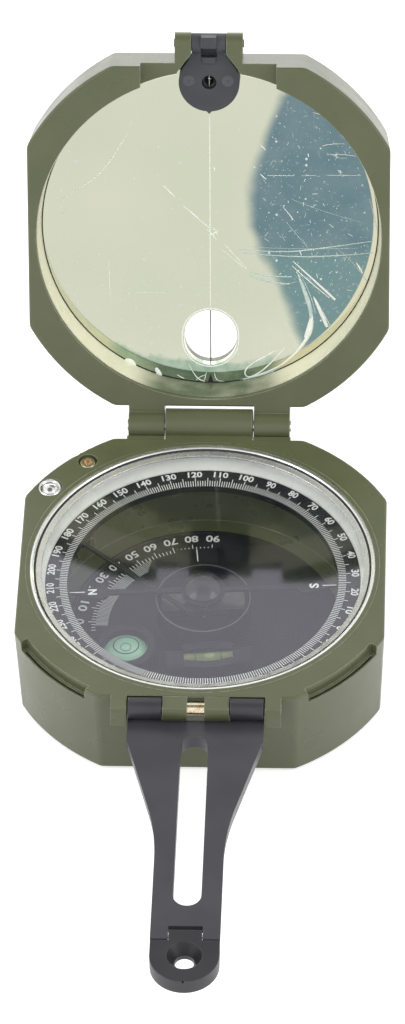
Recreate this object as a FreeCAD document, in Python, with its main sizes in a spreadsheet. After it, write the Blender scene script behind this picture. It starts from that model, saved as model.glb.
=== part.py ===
"""Pocket transit: a magnetic compass and clinometer in a folding case, with two sights.

Millimetres, +Z up. The origin is the middle of the base's flat underside, below the needle's pivot.
+X is right, +Y is towards the lid hinge. The lid stands open and the sight arm is folded out.
"""
import FreeCAD, Part
import Sketcher
import math
import os

DOC = FreeCAD.newDocument("pocket_transit")
SHEET = DOC.addObject("Spreadsheet::Sheet", "sizes")


# ---------------------------------------------------------------- sizes that carry their formula

class Size:
    """A number together with the text by which the document works it out."""

    def __init__(self, value, text):
        self.value = value
        self.text = text

    def __add__(self, other):
        other = as_size(other)
        return Size(self.value + other.value, f"({self.text} + {other.text})")

    def __radd__(self, other):
        return as_size(other) + self

    def __sub__(self, other):
        other = as_size(other)
        return Size(self.value - other.value, f"({self.text} - {other.text})")

    def __rsub__(self, other):
        return as_size(other) - self

    def __mul__(self, other):
        other = as_size(other)
        return Size(self.value * other.value, f"({self.text} * {other.text})")

    def __rmul__(self, other):
        return as_size(other) * self

    def __truediv__(self, other):
        other = as_size(other)
        return Size(self.value / other.value, f"({self.text} / {other.text})")

    def __neg__(self):
        return Size(-self.value, f"(-1 * {self.text})")


def as_size(number):
    return number if isinstance(number, Size) else Size(float(number), repr(number))


def root(size):
    return Size(math.sqrt(size.value), f"sqrt({size.text})")


def sine(size):
    return Size(math.sin(math.radians(size.value)), f"sin({size.text})")


def cosine(size):
    return Size(math.cos(math.radians(size.value)), f"cos({size.text})")


def arctangent(size):
    return Size(math.degrees(math.atan(size.value)), f"atan({size.text})")


class Sizes:
    """The driving dimensions, each one a cell of the sheet with an alias."""

    def __init__(self):
        self.rows = 0

    def add(self, **cells):
        for alias, number in cells.items():
            self.rows += 1
            SHEET.set(f"A{self.rows}", alias)
            SHEET.set(f"B{self.rows}", str(number))
            SHEET.setAlias(f"B{self.rows}", alias)
            setattr(self, alias, Size(float(number), f"sizes.{alias}"))


d = Sizes()

# case outline: a square with each corner cut by one circle about the pivot
d.add(body_width=73, corner_circle=41.3, base_height=21, draft=0.8, corner_blend=3, edge_round=0.5)

# bores of the base, from the floor up
d.add(floor_top=3.0, cavity_radius=31.2, ledge_top=15.0, bore_radius=33.7, bezel_seat=19.9,
      bezel_radius=34.4, recess_radius=16.5, recess_depth=1.6, running_fit=0.05)

# glass, flat seal, flanged bezel, the pale ring, and the low lip of the case round the bezel
d.add(glass_bottom=18.9, gasket_inner=32.8, gasket_top=20.05, flange_inner=32.1, flange_edge=20.3,
      flange_outer=33.2, flange_rise=20.45, bezel_land=33.9,
      reflector_bottom=16.7, reflector_inner=31.5, reflector_lip=32.1, lip_outer=35.3, lip_rise=0.1)

# dial plate on the floor
d.add(plate_radius=27.4, plate_top=3.6)

# scale ring with crown teeth on its underside, and the pinion that turns it
d.add(ring_inner=27.05, ring_top=16.6, ring_bottom=15.05, ring_gap=0.05, crown_inner=28.7, crown_outer=30.5,
      crown_teeth=90, pinion_teeth=9, tooth_height=1.05, tooth_share=0.40, tooth_tip_share=0.18,
      pinion_tip_gap=0.12, screw_shaft=1.2, screw_bush_radius=2.2, bush_gap=0.4, screw_head_radius=2.5,
      screw_head_inset=0.4, screw_head_height=1.6, screw_slot_depth=0.9, head_room=0.15, screw_slot=0.7)

# bull's-eye level
d.add(round_level_x=-15.1, round_level_y=-11.25, round_level_radius=5.95, round_level_top=9.8,
      round_vial_radius=4.42, round_vial_crown=1.3, round_vial_depth=2.0)

# clinometer
d.add(rest_angle=6, shaft_radius=2.5, shaft_bush_radius=4.0, arm_bottom=4.3, arm_top=5.0, hub_radius=6.0,
      index_reach=22.1, index_half_width=4.2, level_distance=13.2, level_length=17.2, level_width=5.0,
      level_axis=7.0, vial_radius=1.9, vial_length=14.8, window_length=9.8, window_width=3.5,
      cup_radius=9.5, cup_wall=0.6, cup_bottom=6.2, cup_floor=7.0, cup_rim=11.7,
      tenon_radius=1.6, lever_bottom=0.5, lever_top=1.4, lever_reach=13.9, lever_half_width=2.2,
      lever_hub=4.2, collar_wall=1.2, ridge_width=0.6, ridge_height=0.35, ridge_pitch=1.4,
      shaft_thread=0.7, thread_depth=2, lever_head_top=2.1, lever_head_radius=2.4, lever_head_from=0.1,
      lever_slot_half=0.25, lever_slot_top=0.3)

# needle
d.add(needle_bottom=13.7, needle_top=14.3, needle_reach=26.8, needle_half_width=0.6, pad_distance=20.6,
      pad_radius=1.9, spear_half=1.7, spear_start=21.2, cap_edge=0.4, jewel_rise=0.8, jewel_cup=0.15,
      needle_angle=3.3, needle_disc=4.4, dome_radius=3.9, dome_top=16.6, stem_radius=1.3,
      stem_bore=0.8, magnet_bottom=9.4, magnet_top=11.0, magnet_length=16.8, magnet_width=5.0,
      pivot_root=0.7, pivot_radius=0.5, pivot_tip=14.5, pivot_cone=1.4, pivot_point=0.05)

# needle lock
d.add(button_x=-31.6, button_y=21.8, button_radius=1.6, sleeve_radius=2.5, sleeve_length=4,
      button_dome=0.25, button_shoulder=0.55, slot_below=1.1, slot_above=0.55, rib_below=1.6,
      rib_above=1.45,
      fulcrum_x=-25.1, fulcrum_y=14.7, lever_azimuth=-40.5, lock_bottom=12.05, lock_thickness=0.7,
      lock_half_width=1.1, lock_pin_radius=0.6, lock_travel=0.6, lift_inner=1.8, lift_outer=3.4,
      lift_thickness=0.45, lift_gap=0.1, rib_thickness=1.2, lever_slot_radius=1.95, button_stem=1.05,
      flange_radius=2.2, flange_thickness=0.6, chamber_floor=13.6, spring_wire=0.35, spring_radius=1.5,
      button_gap=0.12, spring_turns=3)

# front hinge and sight arm
d.add(front_axis_y=-38, front_axis_z=19.4, front_knuckle=2.3, arm_knuckle=2.1, front_pin=1.3,
      inner_knuckle_from=1.7, inner_knuckle_to=6.5, arm_knuckle_from=6.7, arm_knuckle_to=13.2,
      ear_from=13.5, ear_to=16.6, ear_bottom=16.8, arm_half_root=13.3, arm_face_drop=1.8,
      arm_plate=2.0, arm_draft=0.25, arm_rail=3.2, arm_rail_width=1.5, slot_rim=1.3, knuckle_room=0.25,
      shoulder_y=-44.7, neck_y=-76, neck_half=6.65, side_curve=52, arm_end_y=-96.4, slot_half=2.7,
      slot_near_y=-43.6, slot_far_y=-87.8)

# peep sight at the end of the arm
d.add(peep_axis_y=-94.8, peep_axis_drop=0.9, peep_pin=0.45, tongue_half=3.15, tongue_back=0.85,
      notch_back=1.85, joint_gap=0.12, peep_hole_y=-100.3, peep_end=6.6, peep_cone=3.4, peep_bore=1.85,
      peep_cone_depth=2.2)

# rear hinge and lid, in the closed lid's place
d.add(rear_axis_y=40.4, rear_axis_z=20.9, rear_knuckle=2.7, rear_pin=1.2, base_knuckle_half=8.9,
      lid_knuckle_from=9.1, lid_knuckle_to=16.4, lid_angle=111.27, lid_gap=0.3, lid_thickness=11.3,
      web_root=1.5, heel_drop=5.4, heel_end=9.3, lid_web_height=5.2,
      lid_opening=34.84, mirror_radius=34.3, mirror_depth=7.56, mirror_thickness=1.75,
      mirror_ring_wall=0.15, mirror_ring_lip=0.9,
      rim_notch_half=13.6, rim_notch_depth=3.0, window_y=24.2, window_radius=5.35, window_straight=1.2)

# front sight in the lid's lugs
d.add(lug_from=3.5, lug_to=6.8, lug_radius=2.2, sight_axis_y=-39.8, sight_axis_drop=5.2, sight_pin=0.8,
      flare_half=6.4, flare_y=-34.2, flare_start_y=-38.2, sight_disc=6.1, sight_disc_y=-31.5,
      sight_neck=3.2, sight_barrel=3.42, sight_knuckle=2.0, sight_face_drop=5.1, sight_thickness=2.1,
      sight_hole=1.48, sight_hair=0.1, sight_point=0.9, sight_point_rise=0.55)

# clamp recesses in the front corners, each a step with a channel in its floor, and the brass screw
d.add(step_radius=39.8, step_floor=18.4, channel_inner=40.3, channel_outer=40.85, channel_floor=17.4,
      groove_from=212, groove_sweep=26, channel_inset=1,
      brass_x=-24.3, brass_y=29.5, brass_radius=1.75, brass_depth=1.1, brass_head=0.75, brass_thread=1.2,
      brass_length=7, brass_socket=0.75, socket_depth=1.1, brass_room=0.2)

DOC.recompute()

HALF = d.body_width / 2
LID_BOTTOM = d.base_height + d.lid_gap
LID_TOP = LID_BOTTOM + d.lid_thickness
MIRROR_FACE = LID_BOTTOM + d.mirror_depth
NODES = {}
BEYOND = 60          # reach of a tool that cuts right through
FLAT = 0.01          # an edge that rises less than this is level
RIB_ROOT = -4.3      # where the lever's ribs begin in the wall, along the lever from its pin
RIB_END = 1.3        # where they end
RIB_GAP = 0.25       # between the lever and each rib


# ---------------------------------------------------------------- drawing helpers

def bind(item, **formulas):
    """Bind properties to the sheet. Px, Py and Pz stand for the placement's position."""
    places = {"Px": ".Placement.Base.x", "Py": ".Placement.Base.y", "Pz": ".Placement.Base.z"}
    for name, formula in formulas.items():
        item.setExpression(places.get(name, name), as_size(formula).text)
    return item


def turn(item, axis, degrees):
    """Turn an object about its own origin; the angle may be a formula."""
    item.Placement.Rotation = FreeCAD.Rotation(FreeCAD.Vector(*axis), as_size(degrees).value)
    return item


def cylinder(name, radius, height, at=(0, 0, 0), along="z"):
    """A cylinder that starts at a point and runs along +X, +Y or +Z."""
    item = DOC.addObject("Part::Cylinder", name)
    axes = {"x": ((0, 1, 0), 90), "y": ((1, 0, 0), -90), "z": ((0, 0, 1), 0)}
    turn(item, *axes[along])
    return bind(item, Radius=radius, Height=height, Px=at[0], Py=at[1], Pz=at[2])


def cone(name, lower, upper, height, at=(0, 0, 0)):
    item = DOC.addObject("Part::Cone", name)
    return bind(item, Radius1=lower, Radius2=upper, Height=height, Px=at[0], Py=at[1], Pz=at[2])


def block(name, low, high):
    """A box between its lowest and highest corners."""
    item = DOC.addObject("Part::Box", name)
    sides = [as_size(b) - as_size(a) for a, b in zip(low, high)]
    return bind(item, Length=sides[0], Width=sides[1], Height=sides[2], Px=low[0], Py=low[1], Pz=low[2])


def mirrored_blocks(name, near, far, low, high):
    """Two boxes, one each side of the middle, from near to far in X; low and high are (y, z)."""
    right = block(f"{name}_right", (near, *low), (far, *high))
    left = block(f"{name}_left", (-as_size(far), *low), (-as_size(near), *high))
    return [left, right]


def mirrored_barrels(name, near, far, radius, at):
    """Two cylinders along X, one each side of the middle; at is (y, z)."""
    length = as_size(far) - near
    right = cylinder(f"{name}_right", radius, length, (near, *at), "x")
    left = cylinder(f"{name}_left", radius, length, (-as_size(far), *at), "x")
    return [left, right]


def fuse(name, items):
    item = DOC.addObject("Part::MultiFuse", name)
    item.Shapes = items
    item.Refine = True
    return item


def placed(name, items, place):
    """Items drawn about an origin of their own, set in their place as one."""
    item = DOC.addObject("Part::Compound", name)
    item.Links = items if len(items) == 1 else [fuse(f"{name}_joined", items)]
    item.Placement = place
    return item


def cut(name, base, tools):
    tool = tools[0] if len(tools) == 1 else fuse(f"{name}_tools", tools)
    item = DOC.addObject("Part::Cut", name)
    item.Base = base
    item.Tool = tool
    item.Refine = True
    return item


def common(name, first, second):
    item = DOC.addObject("Part::Common", name)
    item.Base = first
    item.Tool = second
    return item


def node(name, item, place=None):
    """Name a finished sub-part and, where it is drawn elsewhere, put it in its place."""
    item.Label = name
    if place is not None:
        item.Placement = place.multiply(item.Placement)
    NODES[name] = item
    return item


def new_body(name):
    return DOC.addObject("PartDesign::Body", name)


def origin_plane(body, role):
    return next(item for item in body.Origin.OriginFeatures if item.Role == role)


def sketch(body, name, points, role="XZ_Plane", offset=0):
    """A closed outline in one of the body's planes, every corner bound to the sheet.

    A point is (across, up) or (across, up, radius, side): then an arc of that radius runs to the next
    point, with its centre on the left (side 1) or the right (side -1) of the way there.
    """
    drawing = body.newObject("Sketcher::SketchObject", name)
    drawing.AttachmentSupport = (origin_plane(body, role), "")
    drawing.MapMode = "FlatFace"
    drawing.setExpression(".AttachmentOffset.Base.z", as_size(offset).text)
    corners = [(as_size(p[0]), as_size(p[1])) for p in points]
    count = len(points)
    for index, point in enumerate(points):
        start = FreeCAD.Vector(corners[index][0].value, corners[index][1].value, 0)
        following = corners[(index + 1) % count]
        end = FreeCAD.Vector(following[0].value, following[1].value, 0)
        if len(point) == 2:
            drawing.addGeometry(Part.LineSegment(start, end))
            continue
        radius, side = as_size(point[2]).value, point[3]
        middle = (start + end) * 0.5
        chord = end - start
        left = FreeCAD.Vector(-chord.y, chord.x, 0).normalize() * side
        rise = math.sqrt(max(radius ** 2 - (chord.Length / 2) ** 2, 0))
        top = middle + left * rise - left * radius
        drawing.addGeometry(Part.Arc(start, top, end))
    add_corner_constraints(drawing, points, corners)
    return drawing


def add_corner_constraints(drawing, points, corners):
    count = len(points)
    order = [edge_order(drawing, index, corners) for index in range(count)]
    for index in range(count):
        following = (index + 1) % count
        drawing.addConstraint(Sketcher.Constraint("Coincident", index, order[index][1],
                                                  following, order[following][0]))
    for index, (across, up) in enumerate(corners):
        for kind, size in (("DistanceX", across), ("DistanceY", up)):
            number = drawing.addConstraint(
                Sketcher.Constraint(kind, -1, 1, index, order[index][0], size.value))
            if size.text.count("sizes."):
                drawing.setExpression(f"Constraints[{number}]", size.text)
    for index, point in enumerate(points):
        if len(point) == 2:
            continue
        radius, up = as_size(point[2]), corners[index][1]
        chord = corners[(index + 1) % count][0].value - point_x(point)
        half_round = abs(2 * radius.value - abs(chord)) < 1e-6
        if half_round:
            number = drawing.addConstraint(Sketcher.Constraint("DistanceY", -1, 1, index, 3, up.value))
            drawing.setExpression(f"Constraints[{number}]", up.text)
        else:
            number = drawing.addConstraint(Sketcher.Constraint("Radius", index, radius.value))
            drawing.setExpression(f"Constraints[{number}]", radius.text)


def point_x(point):
    return as_size(point[0]).value


def edge_order(drawing, index, corners):
    """Which end of edge number index lies at its own corner: (1, 2) or (2, 1)."""
    start = drawing.getPoint(index, 1)
    across, up = corners[index]
    near = math.hypot(start.x - across.value, start.y - up.value) < 1e-6
    return (1, 2) if near else (2, 1)


def revolved(name, points):
    """A body turned about Z from an outline of (radius, height) points."""
    body = new_body(name)
    profile = sketch(body, f"{name}_profile", points)
    feature = body.newObject("PartDesign::Revolution", f"{name}_turned")
    feature.Profile = profile
    feature.ReferenceAxis = (profile, ["V_Axis"])
    feature.Angle = 360
    return body


def ring(name, inner, outer, bottom, top):
    return revolved(name, [(inner, bottom), (outer, bottom), (outer, top), (inner, top)])


def padded(name, points, height, offset=0, role="XY_Plane"):
    """A body of even thickness from an outline."""
    body = new_body(name)
    profile = sketch(body, f"{name}_outline", points, role, offset)
    feature = body.newObject("PartDesign::Pad", f"{name}_pad")
    feature.Profile = profile
    bind(feature, Length=height)
    return body


def dress(body, kind, name, edges, size):
    """Fillet or chamfer the edges of a body's tip that a test picks; the size is bound."""
    DOC.recompute()
    tip = body.Tip
    picked = [f"Edge{number + 1}" for number, edge in enumerate(tip.Shape.Edges) if edges(edge)]
    feature = body.newObject(f"PartDesign::{kind}", name)
    feature.Base = (tip, picked)
    bind(feature, **{"Radius" if kind == "Fillet" else "Size": size})
    return body


def spans(edge, axis):
    """How far an edge reaches along x, y or z."""
    box = edge.BoundBox
    return {"x": box.XLength, "y": box.YLength, "z": box.ZLength}[axis]


# ---------------------------------------------------------------- case outline

def case_points():
    """The square with rounded corners that the base and the lid share.

    Each corner is one wide arc about the pivot, met by a small blend at either end.
    """
    blend = d.corner_blend
    near, far = HALF - blend, d.corner_circle - blend
    flat = root(far * far - near * near)
    grow = d.corner_circle / far
    on_circle = (near * grow, flat * grow)
    quarter = [((HALF, -flat), None), ((HALF, flat), (blend, 1)), (on_circle, (d.corner_circle, 1)),
               ((on_circle[1], on_circle[0]), (blend, 1))]
    points = []
    for turns in range(4):
        for (across, up), bend in quarter:
            for _ in range(turns):
                across, up = -up, across
            points.append((across, up) if bend is None else (across, up, *bend))
    return points


def case_body(name, level, height, downwards):
    """A block of the case outline at a level, drawn in by the draft over its height."""
    body = padded(name, case_points(), height, level)
    body.Tip.Reversed = downwards
    bind(body.Tip, TaperAngle=-arctangent(d.draft / height))
    return dress(body, "Fillet", f"{name}_edges", lambda edge: spans(edge, "z") < FLAT, d.edge_round)


def corner_arc(name, inner, outer, low, high, start, sweep):
    """A curved bar about the pivot: a sector of a ring between two angles."""
    outside = cylinder(f"{name}_outside", outer, as_size(high) - low, (0, 0, low))
    bind(outside, Angle=sweep)
    bar = cut(name, outside, [cylinder(f"{name}_inside", inner, as_size(high) - low, (0, 0, low))])
    turn(bar, (0, 0, 1), start)
    return bar


# ---------------------------------------------------------------- shared places

def lock_place():
    """Where the needle lock's lever is drawn: its fulcrum, with +X along the lever to the needle."""
    return FreeCAD.Placement(
        FreeCAD.Vector(d.fulcrum_x.value, d.fulcrum_y.value, 0),
        FreeCAD.Rotation(FreeCAD.Vector(0, 0, 1), d.lever_azimuth.value))


def in_lock(across, along_side):
    """A place in the lever's own directions, from a place seen from the pivot."""
    east, north = as_size(across) - d.fulcrum_x, as_size(along_side) - d.fulcrum_y
    turned, aside = cosine(d.lever_azimuth), sine(d.lever_azimuth)
    return east * turned + north * aside, north * turned - east * aside


def opened():
    """How far the closed lid's parts are turned to stand open."""
    return FreeCAD.Placement(
        FreeCAD.Vector(), FreeCAD.Rotation(FreeCAD.Vector(1, 0, 0), -d.lid_angle.value),
        FreeCAD.Vector(0, d.rear_axis_y.value, d.rear_axis_z.value))


def read_at_rest():
    """The clinometer's turn about the pivot at rest."""
    return FreeCAD.Placement(FreeCAD.Vector(),
                             FreeCAD.Rotation(FreeCAD.Vector(0, 0, 1), d.rest_angle.value))


def needle_at_rest():
    return FreeCAD.Placement(FreeCAD.Vector(),
                             FreeCAD.Rotation(FreeCAD.Vector(0, 0, 1), d.needle_angle.value))


# ---------------------------------------------------------------- base

def gear_height():
    """Height of the azimuth screw's axis: its pinion's tips stop just under the scale ring."""
    return d.ring_bottom - d.pinion_tip_gap - pinion_pitch() - tooth_reach()


def crown_middle():
    return (d.crown_inner + d.crown_outer) / 2


def pinion_pitch():
    return crown_middle() * d.pinion_teeth / d.crown_teeth


def tooth_reach():
    """How far a tooth stands past the pitch line."""
    return d.tooth_height / 2 - d.pinion_tip_gap / 2


def bore_tool():
    """The round chamber: the mechanism's cavity, the ring's ledge and the bezel's seat."""
    above = d.base_height + 1
    return revolved("base_bore", [
        (0, d.floor_top), (d.cavity_radius, d.floor_top), (d.cavity_radius, d.ledge_top),
        (d.bore_radius, d.ledge_top), (d.bore_radius, d.bezel_seat), (d.bezel_radius, d.bezel_seat),
        (d.bezel_radius, above), (0, above)])


def lock_pin_height():
    return d.lock_bottom + d.lock_thickness / 2


def lock_tools():
    """Bore for the lock button and the slot in the wall where its lever rocks."""
    sleeve_bottom = d.base_height - d.sleeve_length
    button = (d.button_x, d.button_y)
    slot_low, slot_high = d.lock_bottom - d.slot_below, d.lock_bottom + d.lock_thickness + d.slot_above
    bore = cylinder("stem_bore", d.button_stem + d.running_fit, BEYOND, (*button, slot_low))
    chamber = cylinder("spring_chamber", d.flange_radius + 0.1, BEYOND, (*button, d.chamber_floor))
    seat = cylinder("sleeve_seat", d.sleeve_radius, BEYOND, (*button, sleeve_bottom))
    end = cylinder("slot_end", d.lever_slot_radius, slot_high - slot_low, (*button, slot_low))
    along, aside = in_lock(*button)
    gap = d.lock_half_width + RIB_GAP
    slot = block("lever_slot", (along, -gap, slot_low), (RIB_ROOT, aside + d.lever_slot_radius, slot_high))
    throat = block("lever_throat", (RIB_ROOT, -gap, slot_low), (RIB_END, gap, slot_high))
    pin = cylinder("lever_pin_bore", d.lock_pin_radius, 12, (0, -6, lock_pin_height()), "y")
    return [bore, chamber, seat, end, placed("lever_tools", [slot, throat, pin], lock_place())]


def lock_ribs():
    """Two ribs from the wall that hold the lever's pin."""
    gap = d.lock_half_width + RIB_GAP
    low, high = d.lock_bottom - d.rib_below, d.lock_bottom + d.rib_above
    ribs = []
    for name, near, far in (("rib_left", gap, gap + d.rib_thickness),
                            ("rib_right", -gap - d.rib_thickness, -gap)):
        ribs.append(block(name, (RIB_ROOT, near, low), (RIB_END, far, high)))
    return [placed("lock_ribs", ribs, lock_place())]


def front_ears():
    """Outer ears and inner knuckles for the sight arm, on the middle of the front face."""
    axis = (d.front_axis_y, d.front_axis_z)
    root_y = 2 - HALF
    ears = mirrored_barrels("ear", d.ear_from, d.ear_to, d.front_knuckle, axis)
    faces = mirrored_blocks("ear_web", d.ear_from, d.ear_to, (d.front_axis_y, d.ear_bottom),
                            (root_y, d.base_height))
    fronts = mirrored_blocks("ear_front", d.ear_from, d.ear_to,
                             (d.front_axis_y - d.front_knuckle, d.ear_bottom),
                             (d.front_axis_y, d.front_axis_z))
    inner = mirrored_barrels("inner_knuckle", d.inner_knuckle_from, d.inner_knuckle_to,
                             d.front_knuckle, axis)
    webs = mirrored_blocks("inner_web", d.inner_knuckle_from, d.inner_knuckle_to,
                           (d.front_axis_y, d.front_axis_z - d.front_knuckle), (root_y, d.front_axis_z + 1))
    above = block("above_top", (-BEYOND, -BEYOND, d.base_height), (BEYOND, 0, BEYOND))
    return cut("front_lugs", fuse("front_lugs_whole", ears + faces + fronts + inner + webs), [above])


def front_tools():
    """Round clearance for the arm's knuckles, the middle gap that shows the pin, and the pin's bore."""
    axis = (d.front_axis_y, d.front_axis_z)
    room = mirrored_barrels("knuckle_room", d.inner_knuckle_to, d.ear_from,
                            d.arm_knuckle + d.knuckle_room, axis)
    half = d.inner_knuckle_from
    gap = cylinder("pin_window", d.arm_knuckle, 2 * half, (-half, *axis), "x")
    bore = cylinder("front_pin_bore", d.front_pin, 2 * d.ear_to, (-d.ear_to, *axis), "x")
    return room + [gap, bore]


def rear_knuckle_parts():
    axis = (d.rear_axis_y, d.rear_axis_z)
    half = d.base_knuckle_half
    barrel = cylinder("rear_barrel", d.rear_knuckle, 2 * half, (-half, *axis), "x")
    heel_z = d.rear_axis_z - d.heel_drop
    root = HALF - d.web_root
    web = block("rear_web", (-half, root, heel_z), (half, d.rear_axis_y, d.rear_axis_z))
    heel = cylinder("rear_heel", d.rear_axis_y - HALF, 2 * half, (-half, HALF, heel_z), "x")
    below = block("rear_below", (-half, root, d.rear_axis_z - d.heel_end), (half, HALF, heel_z))
    return [barrel, web, heel, below]


def azimuth_screw_tools():
    """Bush bore, screw head recess and the pinion's room in the right wall."""
    height = gear_height()
    bush = cylinder("bush_bore", d.screw_bush_radius, BEYOND, (d.crown_outer, 0, height), "x")
    head = cylinder("head_recess", d.screw_head_radius + d.head_room, BEYOND,
                    (HALF - d.screw_head_inset - d.screw_head_height - 2 * d.running_fit, 0, height), "x")
    return [bush, head]


def clamp_tools():
    """A step in each front corner, open at the top, with a narrow channel in its floor for a clamp."""
    sweep, inset = d.groove_sweep, d.channel_inset
    tools = []
    for side, start in (("left", d.groove_from), ("right", 540 - d.groove_from - sweep)):
        tools.append(corner_arc(f"clamp_step_{side}", d.step_radius, BEYOND, d.step_floor, BEYOND,
                                start, sweep))
        tools.append(corner_arc(f"clamp_channel_{side}", d.channel_inner, d.channel_outer,
                                d.channel_floor, d.base_height, start + inset, sweep - 2 * inset))
    return tools


def base_case():
    """Die-cast base: one drafted block with the hinge lugs cast on, then bored."""
    block_body = case_body("base_outer", d.base_height, d.base_height, True)
    thread_end = d.base_height - d.brass_length
    lip = ring("case_lip", d.bore_radius, d.lip_outer, d.bezel_seat, d.base_height + d.lip_rise)
    cast = fuse("base_cast", [block_body, lip, front_ears()] + rear_knuckle_parts())
    brass = (d.brass_x, d.brass_y)
    bores = [
        bore_tool(),
        cylinder("lever_recess", d.recess_radius, d.recess_depth + 1, (0, 0, -1)),
        cylinder("shaft_bush_bore", d.shaft_bush_radius, d.floor_top + 1, (0, 0, 0)),
        cylinder("brass_seat", d.brass_radius + d.brass_room, BEYOND,
                 (*brass, d.base_height - d.brass_depth)),
        cylinder("brass_hole", d.brass_thread, BEYOND, (*brass, thread_end))]
    shell = cut("base_shell", cast, bores + clamp_tools())
    ribbed = fuse("base_ribbed", [shell] + lock_ribs())
    rear_bore = cylinder("rear_pin_bore", d.rear_pin, 2 * d.base_knuckle_half,
                         (-d.base_knuckle_half, d.rear_axis_y, d.rear_axis_z), "x")
    node("base_case", cut("base_finished", ribbed, front_tools() + [rear_bore]
                          + lock_tools() + azimuth_screw_tools()))


# ---------------------------------------------------------------- fixed pieces in the base

def dial_stack():
    """Floor plate, pale ring, glass, seal and bezel, each turned from its profile."""
    hole = d.shaft_bush_radius + 0.3
    node("dial_plate", ring("dial_plate_body", hole, d.plate_radius, d.floor_top, d.plate_top))
    node("reflector_ring", revolved("reflector_body", [
        (d.reflector_inner, d.reflector_bottom), (d.bore_radius, d.reflector_bottom),
        (d.bore_radius, d.glass_bottom), (d.reflector_lip, d.glass_bottom)]))
    glass = revolved("glass_body", [(0, d.glass_bottom), (d.bore_radius, d.glass_bottom),
                                    (d.bore_radius, d.bezel_seat), (0, d.bezel_seat)])
    node("cover_glass", glass)
    node("glass_gasket", ring("gasket_body", d.gasket_inner, d.bore_radius, d.bezel_seat, d.gasket_top))
    node("bezel_ring", revolved("bezel_body", [
        (d.flange_inner, d.gasket_top), (d.bore_radius, d.gasket_top), (d.bore_radius, d.bezel_seat),
        (d.bezel_radius, d.bezel_seat), (d.bezel_radius, d.base_height), (d.bezel_land, d.base_height),
        (d.flange_outer, d.flange_rise), (d.flange_inner, d.flange_edge)]))


def is_rim(edge, level):
    """Whether an edge lies level at a height."""
    box = edge.BoundBox
    return abs(box.ZMin - as_size(level).value) < FLAT and box.ZLength < FLAT


def round_level():
    """Bull's-eye level: an open cup that holds a vial with a crowned top."""
    place = FreeCAD.Placement(FreeCAD.Vector(d.round_level_x.value, d.round_level_y.value, 0),
                              FreeCAD.Rotation())
    inside = d.round_vial_radius
    seat = d.plate_top + d.plate_top - d.floor_top
    housing = revolved("round_housing_body", [
        (0, d.plate_top), (d.round_level_radius, d.plate_top),
        (d.round_level_radius, d.round_level_top), (inside, d.round_level_top), (inside, seat), (0, seat)])
    dress(housing, "Chamfer", "round_housing_bevel", lambda edge: is_rim(edge, d.round_level_top), 0.3)
    node("round_level_housing", housing, place)
    crown = d.round_vial_crown
    sphere = (inside * inside + crown * crown) / (2 * crown)
    shoulder = d.round_level_top - d.round_vial_depth
    vial = revolved("round_vial_body", [
        (0, seat), (inside, seat), (inside, shoulder, sphere, 1), (0, shoulder + crown)])
    node("round_level_vial", vial, place)


def bushes_and_pins():
    """Bearings, hinge pins, the button's sleeve and spring and the brass screw."""
    shaft_bore = d.shaft_radius + d.running_fit
    ceiling = d.recess_depth
    node("shaft_bush", revolved("shaft_bush_body", [
        (shaft_bore, ceiling), (d.shaft_bush_radius, ceiling), (d.shaft_bush_radius, d.floor_top),
        (d.shaft_bush_radius + 0.25, d.floor_top), (d.shaft_bush_radius + 0.25, d.arm_bottom - 0.3),
        (shaft_bore, d.arm_bottom - 0.3)]))
    height = gear_height()
    bush_end = HALF - d.screw_head_inset - d.screw_head_height - 3 * d.running_fit
    bush_start = d.crown_outer + d.bush_gap
    bush = cylinder("screw_bush_outer", d.screw_bush_radius, bush_end - bush_start,
                    (bush_start, 0, height), "x")
    bore = cylinder("screw_bush_bore", d.screw_shaft + d.running_fit, BEYOND,
                    (d.crown_inner, 0, height), "x")
    node("screw_bush", cut("screw_bush_body", bush, [bore]))
    front = cylinder("front_pin_body", d.front_pin, 2 * d.ear_to - 0.6,
                     (0.3 - d.ear_to, d.front_axis_y, d.front_axis_z), "x")
    node("front_hinge_pin", front)
    rear_half = d.lid_knuckle_to + 0.25
    node("rear_hinge_pin", cylinder("rear_pin_body", d.rear_pin, 2 * rear_half,
                                    (-rear_half, d.rear_axis_y, d.rear_axis_z), "x"))
    pin_half = d.lock_half_width + RIB_GAP + d.rib_thickness
    pin = cylinder("lever_pin_body", d.lock_pin_radius, 2 * pin_half,
                   (0, -pin_half, lock_pin_height()), "y")
    node("lock_lever_pin", placed("lever_pin", [pin], lock_place()))


def button_place():
    return FreeCAD.Placement(FreeCAD.Vector(d.button_x.value, d.button_y.value, 0), FreeCAD.Rotation())


def brass_set_screw():
    """Socket screw sunk in the rear left corner."""
    seat, end = d.base_height - d.brass_depth, d.base_height - d.brass_length
    top = seat + d.brass_head
    bevel = d.brass_head * 0.4
    body = revolved("brass_body", [
        (0, end), (d.brass_thread, end), (d.brass_thread, seat), (d.brass_radius, seat),
        (d.brass_radius, top - bevel), (d.brass_radius - bevel, top), (0, top)])
    corners = []
    for number in range(6):
        angle = math.radians(60 * number)
        corners.append((d.brass_socket * math.cos(angle), d.brass_socket * math.sin(angle)))
    socket = padded("brass_socket_tool", corners, BEYOND, top - d.socket_depth)
    screw = cut("brass_screw", body, [socket])
    node("brass_set_screw", screw, FreeCAD.Placement(
        FreeCAD.Vector(d.brass_x.value, d.brass_y.value, 0), FreeCAD.Rotation()))


# ---------------------------------------------------------------- needle lock

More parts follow.
